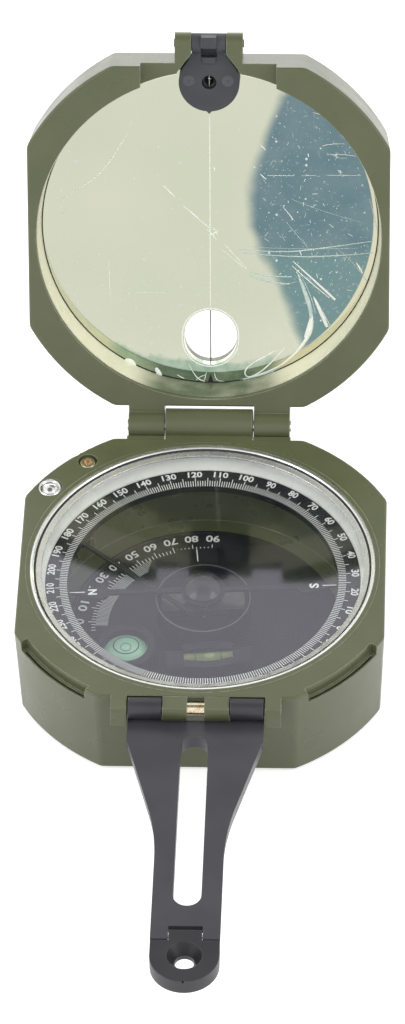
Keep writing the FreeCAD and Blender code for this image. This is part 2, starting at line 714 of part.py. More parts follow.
def needle_lock():
    """Button in its sleeve, the rocking lever below it and the ring that lifts the needle."""
    top = d.base_height
    sleeve_bottom = top - d.sleeve_length
    lever_top = d.lock_bottom + d.lock_thickness
    bore = d.button_radius + d.running_fit
    sleeve = revolved("sleeve_body", [
        (bore, sleeve_bottom), (d.sleeve_radius, sleeve_bottom), (d.sleeve_radius, top - 0.3),
        (d.sleeve_radius - 0.3, top), (bore + 0.35, top), (bore, top - 0.6)])
    node("lock_pin_sleeve", sleeve, button_place())
    radius = d.button_radius
    shoulder = top - d.button_shoulder
    dome = d.button_dome + d.button_shoulder
    sphere = (radius * radius + dome * dome) / (2 * dome)
    flange_top = sleeve_bottom - 0.05
    flange_bottom = flange_top - d.flange_thickness
    node("lock_button", revolved("button_body", [
        (0, lever_top + d.button_gap), (d.button_stem, lever_top + d.button_gap),
        (d.button_stem, flange_bottom),
        (d.flange_radius, flange_bottom), (d.flange_radius, flange_top), (radius, flange_top),
        (radius, shoulder, sphere, 1), (0, shoulder + dome)]), button_place())
    node("lock_spring", lock_spring(flange_bottom), button_place())
    node("lock_lever", placed("lock_lever_set", [lock_lever_body()], lock_place()))
    node("lift_ring", ring("lift_ring_body", d.lift_inner, d.lift_outer, lever_top + d.lift_gap,
                           lever_top + d.lift_gap + d.lift_thickness))


def lock_spring(top):
    """Coil below the button's flange, a press of the button clear of the chamber's floor."""
    low = d.chamber_floor + d.lock_travel + 0.05
    wire, turned = d.spring_wire, d.spring_radius
    height = top - low - wire
    body = new_body("spring_coil")
    section = sketch(body, "spring_section", [
        (turned, low), (turned + wire, low), (turned + wire, low + wire), (turned, low + wire)])
    coil = body.newObject("PartDesign::AdditiveHelix", "spring_helix")
    coil.Profile = section
    coil.ReferenceAxis = (section, ["V_Axis"])
    coil.Mode = "pitch-height-angle"
    bind(coil, Height=height, Pitch=height / d.spring_turns)
    return body


def lock_lever_body():
    """Flat lever: a round pad under the button, an eye on its pin and a fork below the needle."""
    low, thick = d.lock_bottom, d.lock_thickness
    button_x, button_y = in_lock(d.button_x, d.button_y)
    hub_x, hub_y = in_lock(0, 0)
    half = d.lock_half_width
    pad = cylinder("lever_pad", d.lever_slot_radius - 0.3, thick, (button_x, button_y, low))
    bar = block("lever_bar", (button_x, -half, low), (hub_x + half, half, low + thick))
    reach = block("lever_reach", (hub_x - half, -half, low), (hub_x + half, hub_y, low + thick))
    disc = cylinder("lever_fork", d.lift_outer, thick, (hub_x, hub_y, low))
    eye = cylinder("lever_eye", d.lock_pin_radius + 0.55, 2 * half, (0, -half, lock_pin_height()), "y")
    whole = fuse("lever_whole", [pad, bar, reach, disc, eye])
    stem = cylinder("fork_bore", d.lift_inner, thick, (hub_x, hub_y, low))
    mouth = block("fork_mouth", (hub_x, hub_y - d.lift_inner, low),
                  (hub_x + BEYOND, hub_y + d.lift_inner, low + thick))
    bore = cylinder("eye_bore", d.lock_pin_radius + d.running_fit, 2 * half,
                    (0, -half, lock_pin_height()), "y")
    return cut("lock_lever_body", whole, [stem, mouth, bore])


# ---------------------------------------------------------------- needle

def needle():
    """Pivoted needle: a thin bar with a spear head on a pad at each end, its cap, jewel and magnet."""
    low, thick = d.needle_bottom, d.needle_top - d.needle_bottom
    bar = block("needle_strip", (-d.pad_distance, -d.needle_half_width, low),
                (d.pad_distance, d.needle_half_width, d.needle_top))
    pieces = [bar, cylinder("needle_disc", d.needle_disc, thick, (0, 0, low))]
    for name, side in (("north", -1), ("south", 1)):
        pieces.append(cylinder(f"{name}_pad", d.pad_radius, thick, (d.pad_distance * side, 0, low)))
        pieces.append(padded(f"{name}_spear", [
            (d.needle_reach * side, 0), (d.spear_start * side, d.spear_half * side),
            (d.spear_start * side, -d.spear_half * side)], thick, low))
    stem_hole = cylinder("needle_hole", d.stem_radius, thick, (0, 0, low))
    node("needle_bar", cut("needle_bar_body", fuse("needle_whole", pieces), [stem_hole]), needle_at_rest())

    edge = d.needle_top + d.cap_edge
    dome = d.dome_top - edge
    sphere = (d.dome_radius * d.dome_radius + dome * dome) / (2 * dome)
    jewel_top = d.pivot_tip + d.jewel_rise
    node("needle_cap", revolved("needle_cap_body", [
        (d.stem_bore, d.magnet_bottom), (d.stem_radius, d.magnet_bottom), (d.stem_radius, d.needle_top),
        (d.dome_radius, d.needle_top), (d.dome_radius, edge, sphere, 1), (0, d.dome_top),
        (0, jewel_top), (d.stem_bore, jewel_top)]))
    node("needle_jewel", revolved("needle_jewel_body", [
        (0, d.pivot_tip + 0.03), (d.stem_bore - d.jewel_cup, d.pivot_tip - d.cap_edge),
        (d.stem_bore, d.pivot_tip - d.cap_edge), (d.stem_bore, jewel_top), (0, jewel_top)]))
    magnet_half, magnet_side = d.magnet_length / 2, d.magnet_width / 2
    bar_magnet = block("magnet_bar", (-magnet_half, -magnet_side, d.magnet_bottom),
                       (magnet_half, magnet_side, d.magnet_top))
    disc = cylinder("magnet_end_round", magnet_half, BEYOND, (0, 0, 0))
    hole = cylinder("magnet_hole", d.stem_radius, BEYOND, (0, 0, 0))
    node("needle_magnet", cut("magnet_body", common("magnet_rounded", bar_magnet, disc), [hole]),
         needle_at_rest())


# ---------------------------------------------------------------- clinometer

def clinometer():
    """What the lever underneath turns: shaft, index arm, tube level, damping cup and needle pivot."""
    place = read_at_rest()
    hub_top = d.cup_bottom
    thread_top = d.lever_bottom + d.thread_depth
    node("clinometer_shaft", revolved("shaft_body", [
        (0, thread_top), (d.shaft_thread, thread_top), (d.shaft_thread, d.lever_bottom),
        (d.tenon_radius, d.lever_bottom), (d.tenon_radius, d.recess_depth),
        (d.shaft_radius, d.recess_depth), (d.shaft_radius, hub_top), (0, hub_top)]))
    low, thick = d.arm_bottom, d.arm_top - d.arm_bottom
    half = d.index_half_width
    hub = cylinder("arm_hub", d.hub_radius, thick, (0, 0, low))
    collar = cylinder("arm_collar", d.shaft_radius + d.collar_wall, d.cup_bottom - low, (0, 0, low))
    index = block("arm_index", (-half, 0, low), (half, BEYOND, d.arm_top))
    reach = cylinder("arm_reach", d.index_reach, thick, (0, 0, low))
    to_level = block("arm_level_side", (-half, -d.level_distance - d.level_width / 2, low),
                     (half, 0, d.arm_top))
    whole = fuse("arm_whole", [hub, collar, common("arm_index_plate", index, reach), to_level])
    bore = cylinder("arm_bore", d.shaft_radius, BEYOND, (0, 0, 0))
    node("clinometer_arm", cut("arm_body", whole, [bore]), place)

    level_body(place)
    root, inside = d.pivot_root, d.cup_radius - d.cup_wall
    node("damping_cup", revolved("cup_body", [
        (root, d.cup_bottom), (d.cup_radius, d.cup_bottom), (d.cup_radius, d.cup_rim),
        (inside, d.cup_rim), (inside, d.cup_floor), (root, d.cup_floor)]))
    step = d.cup_floor + d.cup_wall
    node("needle_pivot", revolved("pivot_body", [
        (0, d.cup_bottom), (root, d.cup_bottom), (root, step), (d.pivot_radius, step),
        (d.pivot_radius, d.pivot_tip - d.pivot_cone), (d.pivot_point, d.pivot_tip), (0, d.pivot_tip)]))
    clinometer_underside(place)


def level_body(place):
    """Tube level: a rounded housing with a window, and the glass vial in it."""
    top_radius = d.level_width / 2
    half = d.level_length / 2
    centre = -d.level_distance
    trough = block("level_trough", (-half, centre - top_radius, d.arm_top),
                   (half, centre + top_radius, d.level_axis))
    crown = cylinder("level_crown", top_radius, d.level_length, (-half, centre, d.level_axis), "x")
    below = block("level_below", (-BEYOND, -BEYOND, -1), (BEYOND, BEYOND, d.arm_top))
    outer = cut("level_outer", fuse("level_whole", [trough, crown]), [below])
    start = (-d.vial_length / 2, centre, d.level_axis)
    bore = cylinder("level_bore", d.vial_radius, d.vial_length, start, "x")
    window = block("level_window", (-d.window_length / 2, centre - d.window_width / 2, d.level_axis),
                   (d.window_length / 2, centre + d.window_width / 2, BEYOND))
    node("level_housing", cut("level_housing_body", outer, [bore, window]), place)
    vial = cylinder("vial_glass", d.vial_radius, d.vial_length, start, "x")
    node("tube_level_vial", placed("vial_set", [vial], FreeCAD.Placement()), place)


def clinometer_underside(place):
    """Finger lever in the round recess, its screw and the thin friction washer."""
    low, thick = d.lever_bottom, d.lever_top - d.lever_bottom
    half = d.lever_half_width
    hub = cylinder("finger_hub", d.lever_hub, thick, (0, 0, low))
    bar = block("finger_bar", (-half, 0, low), (half, d.lever_reach, d.lever_top))
    end = cylinder("finger_end", half, thick, (0, d.lever_reach, low))
    ridges = []
    for number in range(2):
        start = d.lever_reach + d.ridge_pitch * (number - 1) + d.cup_wall / 3
        ridges.append(block(f"finger_ridge_{number}", (-half, start, low - d.ridge_height),
                            (half, start + d.ridge_width, low)))
    whole = fuse("finger_whole", [hub, bar, end] + ridges)
    bore = cylinder("finger_bore", d.tenon_radius, BEYOND, (0, 0, 0))
    node("clinometer_lever", cut("finger_body", whole, [bore]), place)
    node("friction_washer", ring("washer_body", d.tenon_radius, d.shaft_radius + d.collar_wall,
                                 d.lever_top, d.recess_depth - 0.02))
    slot = block("lever_screw_slot", (-BEYOND, -d.lever_slot_half, 0),
                 (BEYOND, d.lever_slot_half, d.lever_slot_top))
    thread, end_z = d.shaft_thread, low + d.thread_depth - d.running_fit
    head = revolved("lever_screw_turned", [
        (0, d.lever_head_from), (d.lever_head_top, d.lever_head_from), (d.lever_head_radius, low),
        (thread, low), (thread, end_z), (0, end_z)])
    node("lever_screw", cut("lever_screw_body", head, [slot]), place)


# ---------------------------------------------------------------- azimuth ring and its drive

def azimuth_ring():
    """Flat scale ring with a crown of teeth below it; the same tooth repeated round the ring."""
    body = ring("azimuth_ring_body", d.ring_inner, d.bore_radius - d.ring_gap, d.ring_bottom, d.ring_top)
    pitch = 360 / d.crown_teeth.value
    share, tip_share = d.tooth_share.value, d.tooth_tip_share.value
    low = d.ring_bottom.value - d.tooth_height.value
    teeth = []
    for number in range(int(d.crown_teeth.value)):
        middle = number * pitch
        teeth.append(crown_tooth(middle, pitch * share * 1.25 / 2, pitch * tip_share * 1.25 / 2, low))
    crown = DOC.addObject("Part::Feature", "crown_teeth")
    crown.Shape = Part.Compound(teeth)
    node("azimuth_ring", fuse("azimuth_ring_toothed", [body, crown]))


def crown_tooth(middle, root_half, tip_half, low):
    """One tooth between the crown's two radii; the half widths are angles in degrees."""
    top = d.ring_bottom.value + 0.05
    wires = []
    for half, level in ((tip_half, low), (root_half, top)):
        corners = []
        for radius, angle in ((d.crown_inner.value, middle - half), (d.crown_outer.value, middle - half),
                              (d.crown_outer.value, middle + half), (d.crown_inner.value, middle + half)):
            turned = math.radians(angle)
            corners.append(FreeCAD.Vector(radius * math.cos(turned), radius * math.sin(turned), level))
        wires.append(Part.makePolygon(corners + corners[:1]))
    return Part.makeLoft(wires, True, True)


def azimuth_drive():
    """Slotted screw in the right wall, with the pinion that meshes with the crown."""
    height = gear_height()
    shaft_end = HALF - d.screw_head_inset
    shaft = cylinder("azimuth_shaft", d.screw_shaft, shaft_end - d.crown_inner,
                     (d.crown_inner, 0, height), "x")
    head = cylinder("azimuth_head", d.screw_head_radius, d.screw_head_height,
                    (shaft_end - d.screw_head_height, 0, height), "x")
    slot = block("azimuth_slot", (shaft_end - d.screw_slot_depth, -d.screw_slot / 2, height - BEYOND),
                 (shaft_end, d.screw_slot / 2, height + BEYOND))
    node("azimuth_screw", cut("azimuth_screw_body", fuse("azimuth_screw_whole", [shaft, head]), [slot]))
    node("azimuth_pinion", pinion(height), FreeCAD.Placement(
        FreeCAD.Vector(d.crown_inner.value, 0, height.value),
        FreeCAD.Rotation(FreeCAD.Vector(0, 1, 0), 90)))


def pinion(height):
    """Straight-toothed pinion, its outline repeated tooth by tooth, drawn on end."""
    count = int(d.pinion_teeth.value)
    pitch = 360 / count
    tip = pinion_pitch() + tooth_reach()
    bottom = pinion_pitch() - tooth_reach() - d.pinion_tip_gap
    root_half = pitch * d.tooth_share.value * 1.3 / 2
    tip_half = pitch * d.tooth_tip_share.value / 2
    corners = []
    for number in range(count):
        middle = pitch * number
        for radius, angle in ((bottom, middle - root_half), (tip, middle - tip_half),
                              (tip, middle + tip_half), (bottom, middle + root_half)):
            turned = math.radians(angle)
            corners.append((radius * math.cos(turned), radius * math.sin(turned)))
    wheel = padded("pinion_wheel", corners, d.crown_outer - d.crown_inner)
    bore = cylinder("pinion_bore", d.screw_shaft, BEYOND, (0, 0, -1))
    return cut("pinion_body", wheel, [bore])


# ---------------------------------------------------------------- lid, drawn closed

def lid():
    """Lid with its mirror: a drafted shell, hollowed, with hinge knuckles and the sight's lugs."""
    place = opened()
    low, mirror = LID_BOTTOM, MIRROR_FACE
    outer = case_body("lid_outer", low, d.lid_thickness, False)
    seat = d.mirror_radius
    hollow = revolved("lid_hollow", [
        (0, low - 1), (d.lid_opening, low - 1), (d.lid_opening, low), (seat, mirror),
        (seat, mirror + d.mirror_thickness), (0, mirror + d.mirror_thickness)])
    notch_top = low + d.rim_notch_depth
    notch = block("rim_notch", (-d.rim_notch_half, -BEYOND, low - 1), (d.rim_notch_half, -20, notch_top))
    shell = cut("lid_shell_bored", outer, [hollow, notch])

    sight_axis = (d.sight_axis_y, low + d.sight_axis_drop)
    lugs = mirrored_barrels("lug", d.lug_from, d.lug_to, d.lug_radius, sight_axis)
    webs = mirrored_blocks("lug_web", d.lug_from, d.lug_to, (d.sight_axis_y, notch_top),
                           (-d.lid_opening - 0.8, sight_axis[1] + d.lug_radius))
    hinge = (d.rear_axis_y, d.rear_axis_z)
    barrels = mirrored_barrels("lid_knuckle", d.lid_knuckle_from, d.lid_knuckle_to, d.rear_knuckle, hinge)
    web_top = d.rear_axis_z + d.lid_web_height
    hinge_webs = mirrored_blocks("lid_web", d.lid_knuckle_from, d.lid_knuckle_to, (HALF - d.web_root, low),
                                 (d.rear_axis_y, web_top))
    hinge_faces = mirrored_blocks("lid_hinge_face", d.lid_knuckle_from, d.lid_knuckle_to,
                                  (d.rear_axis_y, d.rear_axis_z), (d.rear_axis_y + d.rear_knuckle, web_top))
    cast = fuse("lid_cast", [shell] + lugs + webs + barrels + hinge_webs + hinge_faces)

    right = [(d.lug_from, -BEYOND), (d.lug_from, d.flare_start_y), (d.flare_half, d.flare_y),
             (d.flare_half, d.sight_disc_y)]
    left = [(-across, along) for across, along in reversed(right)]
    flare = padded("sight_flare", right + left, mirror - notch_top + 1, notch_top - 1)
    bores = [
        cylinder("sight_pin_bore", d.sight_pin, 2 * d.lug_to, (-d.lug_to, *sight_axis), "x"),
        cylinder("lid_pin_bore", d.rear_pin + d.running_fit, 2 * d.lid_knuckle_to,
                 (-d.lid_knuckle_to, *hinge), "x")]
    node("lid_shell", cut("lid_finished", cast, [flare, window_tool("lid_window")] + bores), place)

    wall, lip = d.mirror_ring_wall, d.mirror_ring_lip
    slope = (d.lid_opening - seat) / d.mirror_depth
    liner = revolved("mirror_ring_body", [
        (seat - wall, mirror), (seat, mirror), (d.lid_opening - slope * lip, low + lip),
        (d.lid_opening - slope * lip - wall, low + lip)])
    node("mirror_ring", cut("mirror_ring_cut", liner, [notch, flare]), place)

    glass = cylinder("mirror_disc", seat, d.mirror_thickness, (0, 0, mirror))
    node("mirror", cut("mirror_body", glass, [window_tool("mirror_window")]), place)
    pin_half = d.lug_to + 0.2
    pin = cylinder("sight_pin_body", d.sight_pin, 2 * pin_half, (-pin_half, *sight_axis), "x")
    node("sight_pin", placed("sight_pin_set", [pin], FreeCAD.Placement()), place)


def window_tool(name):
    """The sighting window: a hole a little taller than wide, through mirror and lid."""
    radius, straight = d.window_radius, d.window_straight / 2
    low, high = d.window_y - straight, d.window_y + straight
    return padded(name, [(radius, low), (radius, high, radius, 1), (-radius, high),
                         (-radius, low, radius, 1)], BEYOND, LID_BOTTOM)


def front_sight():
    """Small sight leaf, folded on the mirror: a disc on a neck, with a hole and a hair across it."""
    place = opened()
    axis_y, axis_z = d.sight_axis_y, LID_BOTTOM + d.sight_axis_drop
    face = LID_BOTTOM + d.sight_face_drop
    back = face + d.sight_thickness
    neck = d.sight_neck
    flare_end = d.sight_disc_y - d.sight_disc * 0.45
    outline = padded("sight_leaf", [
        (neck, axis_y), (neck, d.flare_start_y + 0.6), (d.sight_disc * 0.893, flare_end),
        (-d.sight_disc * 0.893, flare_end), (-neck, d.flare_start_y + 0.6), (-neck, axis_y)],
        d.sight_thickness, face)
    disc = cylinder("sight_disc_plate", d.sight_disc, d.sight_thickness, (0, d.sight_disc_y, face))
    tip = d.sight_disc_y + d.sight_disc
    point = padded("sight_point_plate", [
        (d.sight_point, tip - d.sight_point / 2), (0, tip + d.sight_point_rise),
        (-d.sight_point, tip - d.sight_point / 2)], d.sight_thickness, face)
    half = d.sight_barrel
    barrel = cylinder("sight_barrel", d.sight_knuckle, 2 * half, (-half, axis_y, axis_z), "x")
    tab = block("sight_tab", (-1.5, axis_y - d.sight_knuckle + 0.1, axis_z - d.sight_knuckle - 0.35),
                (1.5, axis_y + 0.4, axis_z))
    bead = block("sight_bead", (-1.3, axis_y + 2.9, face - 0.45), (1.3, axis_y + 4.1, face))
    whole = fuse("sight_whole", [outline, disc, point, barrel, tab, bead])
    recess = block("sight_recess", (-1.6, axis_y + 0.4, axis_z - 3), (1.6, axis_y + 2.9, face + 1.1))
    hole = cylinder("sight_hole_tool", d.sight_hole, BEYOND, (0, d.sight_disc_y, 0))
    bore = cylinder("sight_bore", d.sight_pin + d.running_fit, 2 * half, (-half, axis_y, axis_z), "x")
    node("front_sight", cut("front_sight_body", whole, [recess, hole, bore]), place)
    hair = cylinder("hair_body", d.sight_hair, 2 * d.sight_hole,
                    (0, d.sight_disc_y - d.sight_hole, (face + back) / 2), "y")
    node("sight_hair", placed("hair_set", [hair], FreeCAD.Placement()), place)


# ---------------------------------------------------------------- sight arm and peep sight

def sight_arm():
    """Long sight arm: a slotted plate with a deeper rim, two knuckles and a notched end."""
    face = d.front_axis_z - d.arm_face_drop
    rim = arm_plate("arm_rim", 0, face, d.arm_rail)
    rim.Tip.Reversed = True
    bind(rim.Tip, TaperAngle=-arctangent(d.arm_draft / d.arm_rail))
    hollow = arm_plate("arm_hollow", d.arm_rail_width, face - d.arm_rail - 1, d.arm_rail - d.arm_plate + 1)
    slot_rim = padded("slot_edge", slot_points(d.slot_rim), d.arm_rail - d.arm_plate, face - d.arm_rail)
    root_top = d.front_axis_z
    root_plate = block("arm_root", (-d.arm_half_root, d.shoulder_y - 0.5, face - d.arm_plate),
                       (d.arm_half_root, d.front_axis_y, face))
    axis = (d.front_axis_y, d.front_axis_z)
    knuckles = mirrored_barrels("arm_knuckle", d.arm_knuckle_from, d.arm_knuckle_to, d.arm_knuckle, axis)
    necks = mirrored_blocks("arm_knuckle_web", d.arm_knuckle_from, d.arm_knuckle_to,
                            (d.front_axis_y - d.arm_knuckle * 0.5, face - d.arm_plate / 2),
                            (d.front_axis_y, root_top))
    whole = fuse("arm_solid", [cut("arm_dished", rim, [hollow]), slot_rim, root_plate] + knuckles + necks)
    slot = padded("arm_slot", slot_points(0), BEYOND, 0)
    room = cylinder("inner_room", d.front_knuckle + 0.15, 2 * d.arm_knuckle_from,
                    (-d.arm_knuckle_from, *axis), "x")
    behind = block("arm_behind", (-d.arm_knuckle_from, d.front_axis_y - 1.2, 0),
                   (d.arm_knuckle_from, 0, d.front_axis_z))
    pin = cylinder("arm_pin_bore", d.front_pin + d.running_fit, 2 * d.arm_knuckle_to,
                   (-d.arm_knuckle_to, *axis), "x")
    peep_axis = (d.peep_axis_y, face - d.peep_axis_drop)
    notch = block("tongue_notch", (-d.tongue_half - 0.15, d.arm_end_y - 1, 0),
                  (d.tongue_half + 0.15, d.peep_axis_y + d.notch_back, BEYOND))
    peep = cylinder("arm_peep_bore", d.peep_pin, 2 * d.neck_half - 1,
                    (0.5 - d.neck_half, *peep_axis), "x")
    corner = block("arm_end_corner", (-BEYOND, d.arm_end_y - 1, peep_axis[1]),
                   (BEYOND, d.peep_axis_y, BEYOND))
    rounding = cylinder("arm_end_round", d.peep_axis_y - d.arm_end_y, 2 * BEYOND,
                        (-BEYOND, *peep_axis), "x")
    trim = cut("arm_end_trim", corner, [rounding])
    node("sight_arm", cut("sight_arm_body", whole, [slot, room, behind, pin, notch, peep, trim]))
    node("peep_pin", cylinder("peep_pin_body", d.peep_pin, 2 * d.neck_half - 1,
                              (0.5 - d.neck_half, *peep_axis), "x"))


def arm_plate(name, inset, low, height):
    """The arm's outline, drawn in by an inset: straight sides that sweep into a narrow neck."""
    top, neck = d.arm_half_root - inset, d.neck_half - inset
    start, end = d.shoulder_y - inset * 0.4, d.arm_end_y + inset
    curve = d.side_curve + inset
    across, along = neck + curve - top, d.neck_y - start
    distance = across * across + along * along
    tangent_square = distance - curve * curve
    tangent = root(tangent_square)
    bend_x = top + (tangent_square * across + tangent * curve * along) / distance
    bend_y = start + (tangent_square * along - tangent * curve * across) / distance
    return padded(name, [
        (top, start), (bend_x, bend_y, curve, 1), (neck, d.neck_y), (neck, end), (-neck, end),
        (-neck, d.neck_y, curve, 1), (-bend_x, bend_y), (-top, start)], height, low)


def slot_points(grow):
    """The arm's long slot, rounded at both ends."""
    half = d.slot_half + grow
    near, far = d.slot_near_y - d.slot_half, d.slot_far_y + d.slot_half
    return [(half, far), (half, near, half, 1), (-half, near), (-half, far, half, 1)]


def peep_leaf():
    """Peep sight that flips up at the end of the arm: round-ended, with a countersunk hole."""
    face = d.front_axis_z - d.arm_face_drop
    low = face - d.arm_rail
    end = d.peep_end
    joint = d.arm_end_y - d.joint_gap
    plate = padded("peep_plate", [(end, joint), (-end, joint), (-end, d.peep_hole_y, end, 1),
                                  (end, d.peep_hole_y)], d.arm_rail, low)
    tongue = block("peep_tongue", (-d.tongue_half, joint - 1, low),
                   (d.tongue_half, d.peep_axis_y + d.tongue_back, face))
    bore = cylinder("peep_bore_tool", d.peep_bore, BEYOND, (0, d.peep_hole_y, 0))
    sink = cone("peep_sink", d.peep_bore, d.peep_cone, d.peep_cone_depth,
                (0, d.peep_hole_y, face - d.peep_cone_depth))
    pin = cylinder("peep_pin_bore", d.peep_pin + d.running_fit, 2 * end,
                   (-end, d.peep_axis_y, face - d.peep_axis_drop), "x")
    mark = block("peep_mark", (-0.2, d.peep_hole_y - end - 1, face - 0.5),
                 (0.2, d.peep_hole_y - end + 0.35, face + 1))
    node("peep_leaf", cut("peep_leaf_body", fuse("peep_whole", [plate, tongue]), [bore, sink, pin, mark]))


# ---------------------------------------------------------------- build, check and write

def check_and_write():
    DOC.recompute()
    for item in DOC.Objects:
        if "Invalid" in item.State or "Error" in item.State:
            raise RuntimeError(f"{item.Name} failed: {item.State}")
    for name, item in NODES.items():
        if item.Shape.isNull() or not item.Shape.isValid():
            raise RuntimeError(f"{name} has no valid shape")
    os.makedirs("parts", exist_ok=True)
    for name, item in NODES.items():
        item.Shape.exportStep(f"parts/{name}.step")
        print(f"{name}: {len(item.Shape.Solids)} solid, {item.Shape.Volume:.1f} mm3")


base_case()
dial_stack()
round_level()
bushes_and_pins()
brass_set_screw()
needle_lock()
needle()
clinometer()
azimuth_ring()
azimuth_drive()
lid()
front_sight()
sight_arm()
peep_leaf()
check_and_write()
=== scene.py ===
"""Looks of the pocket transit: finishes of the case, mirror and glass, and the printed scales.

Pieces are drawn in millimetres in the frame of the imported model, and MM scales them to its metres.
"""
import math
import random

import bmesh
import bpy
from mathutils import Matrix, Vector


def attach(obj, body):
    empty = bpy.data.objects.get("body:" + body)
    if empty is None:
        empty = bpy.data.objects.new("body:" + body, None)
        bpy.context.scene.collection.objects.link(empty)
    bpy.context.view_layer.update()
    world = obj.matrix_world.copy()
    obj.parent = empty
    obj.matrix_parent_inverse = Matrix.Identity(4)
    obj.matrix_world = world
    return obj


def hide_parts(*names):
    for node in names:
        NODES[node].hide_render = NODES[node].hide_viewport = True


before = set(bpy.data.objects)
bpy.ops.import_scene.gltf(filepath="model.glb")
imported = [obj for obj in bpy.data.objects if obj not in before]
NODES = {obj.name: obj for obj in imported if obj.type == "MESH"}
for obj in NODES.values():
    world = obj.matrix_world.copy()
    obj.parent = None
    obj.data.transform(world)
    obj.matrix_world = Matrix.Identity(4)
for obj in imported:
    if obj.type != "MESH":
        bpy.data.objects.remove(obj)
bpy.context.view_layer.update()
SCENE = bpy.context.scene
MM = 0.001

# ---------------------------------------------------------------- sizes, in millimetres and degrees

REAR_AXIS = Vector((0, 40.4, 20.9))        # the lid's hinge
LID_ANGLE = math.radians(-111.27)          # how far the lid stands open
MIRROR_FACE = 28.86                        # height of the mirror's face in the closed lid
FILM_LEVEL = MIRROR_FACE - 0.03            # height of its line and of the film's folds and dust
WINDOW_ALONG = 24.2                        # middle of the mirror's window in the closed lid
SIGHT_FACE = 26.4                          # height of the front sight's face in the closed lid
SIGHT_HOLE_ALONG = -31.5                   # middle of the front sight's hole in the closed lid

REFLECTION_EDGE = 7.9                           # where the mirror's painted dark reflection begins at mid height
REFLECTION_TIPWARD = 0.008                      # how fast its edge bends out towards the lid's tip
REFLECTION_HINGEWARD = 0.45                     # how fast its edge leans out towards the hinge

PRINT = 0.02                               # how far printed marks stand off what carries them
FIGURE_SIZE = 1.42                         # font size of a figure one millimetre high
DIAL_FLOOR = 3.6                           # heights of the faces that carry print
RING_TOP = 16.6
NEEDLE_TOP = 14.3
ARM_TOP = 5.0
ARM_REACH = 20.9                           # where the clinometer's arm ends
AZIMUTH_ZERO = -25                         # where the azimuth ring's zero lies, from +X
CLINOMETER_ZERO = 177.8                    # where the quarter scale's zero lies, from +X

ROUND_LEVEL = (-15.1, -11.25)              # middle of the bull's-eye vial
DOME_TOP = 9.07                            # top of its dome
DOME_RADIUS = 8.165
TUBE_ALONG = -13.2                         # the tube level's axis
TUBE_HEIGHT = 7.0

# ---------------------------------------------------------------- places

# from the closed lid to the open one
OPEN_LID = (Matrix.Translation(REAR_AXIS) @ Matrix.Rotation(LID_ANGLE, 4, "X")
            @ Matrix.Translation(-REAR_AXIS))
NEEDLE_PLACE = Matrix.Rotation(math.radians(3.3), 4, "Z")
CLINOMETER_PLACE = Matrix.Rotation(math.radians(6), 4, "Z")
# the lock's lever lies along X before it is turned and moved here
LEVER_PLACE = Matrix.Translation((-25.1, 14.7, 0)) @ Matrix.Rotation(math.radians(-40.5), 4, "Z")
ALONG_X = Matrix.Rotation(math.pi / 2, 4, "Y")
ALONG_Y = Matrix.Rotation(math.pi / 2, 4, "X")

# ---------------------------------------------------------------- finishes

MIX_SHARE, MIX_FIRST, MIX_SECOND, MIX_RESULT = 0, 6, 7, 2    # the Mix node's sockets for colours
FLAT, SHARP = 0.99, 0.8    # how far the rounded and the plain normal agree off and on an edge


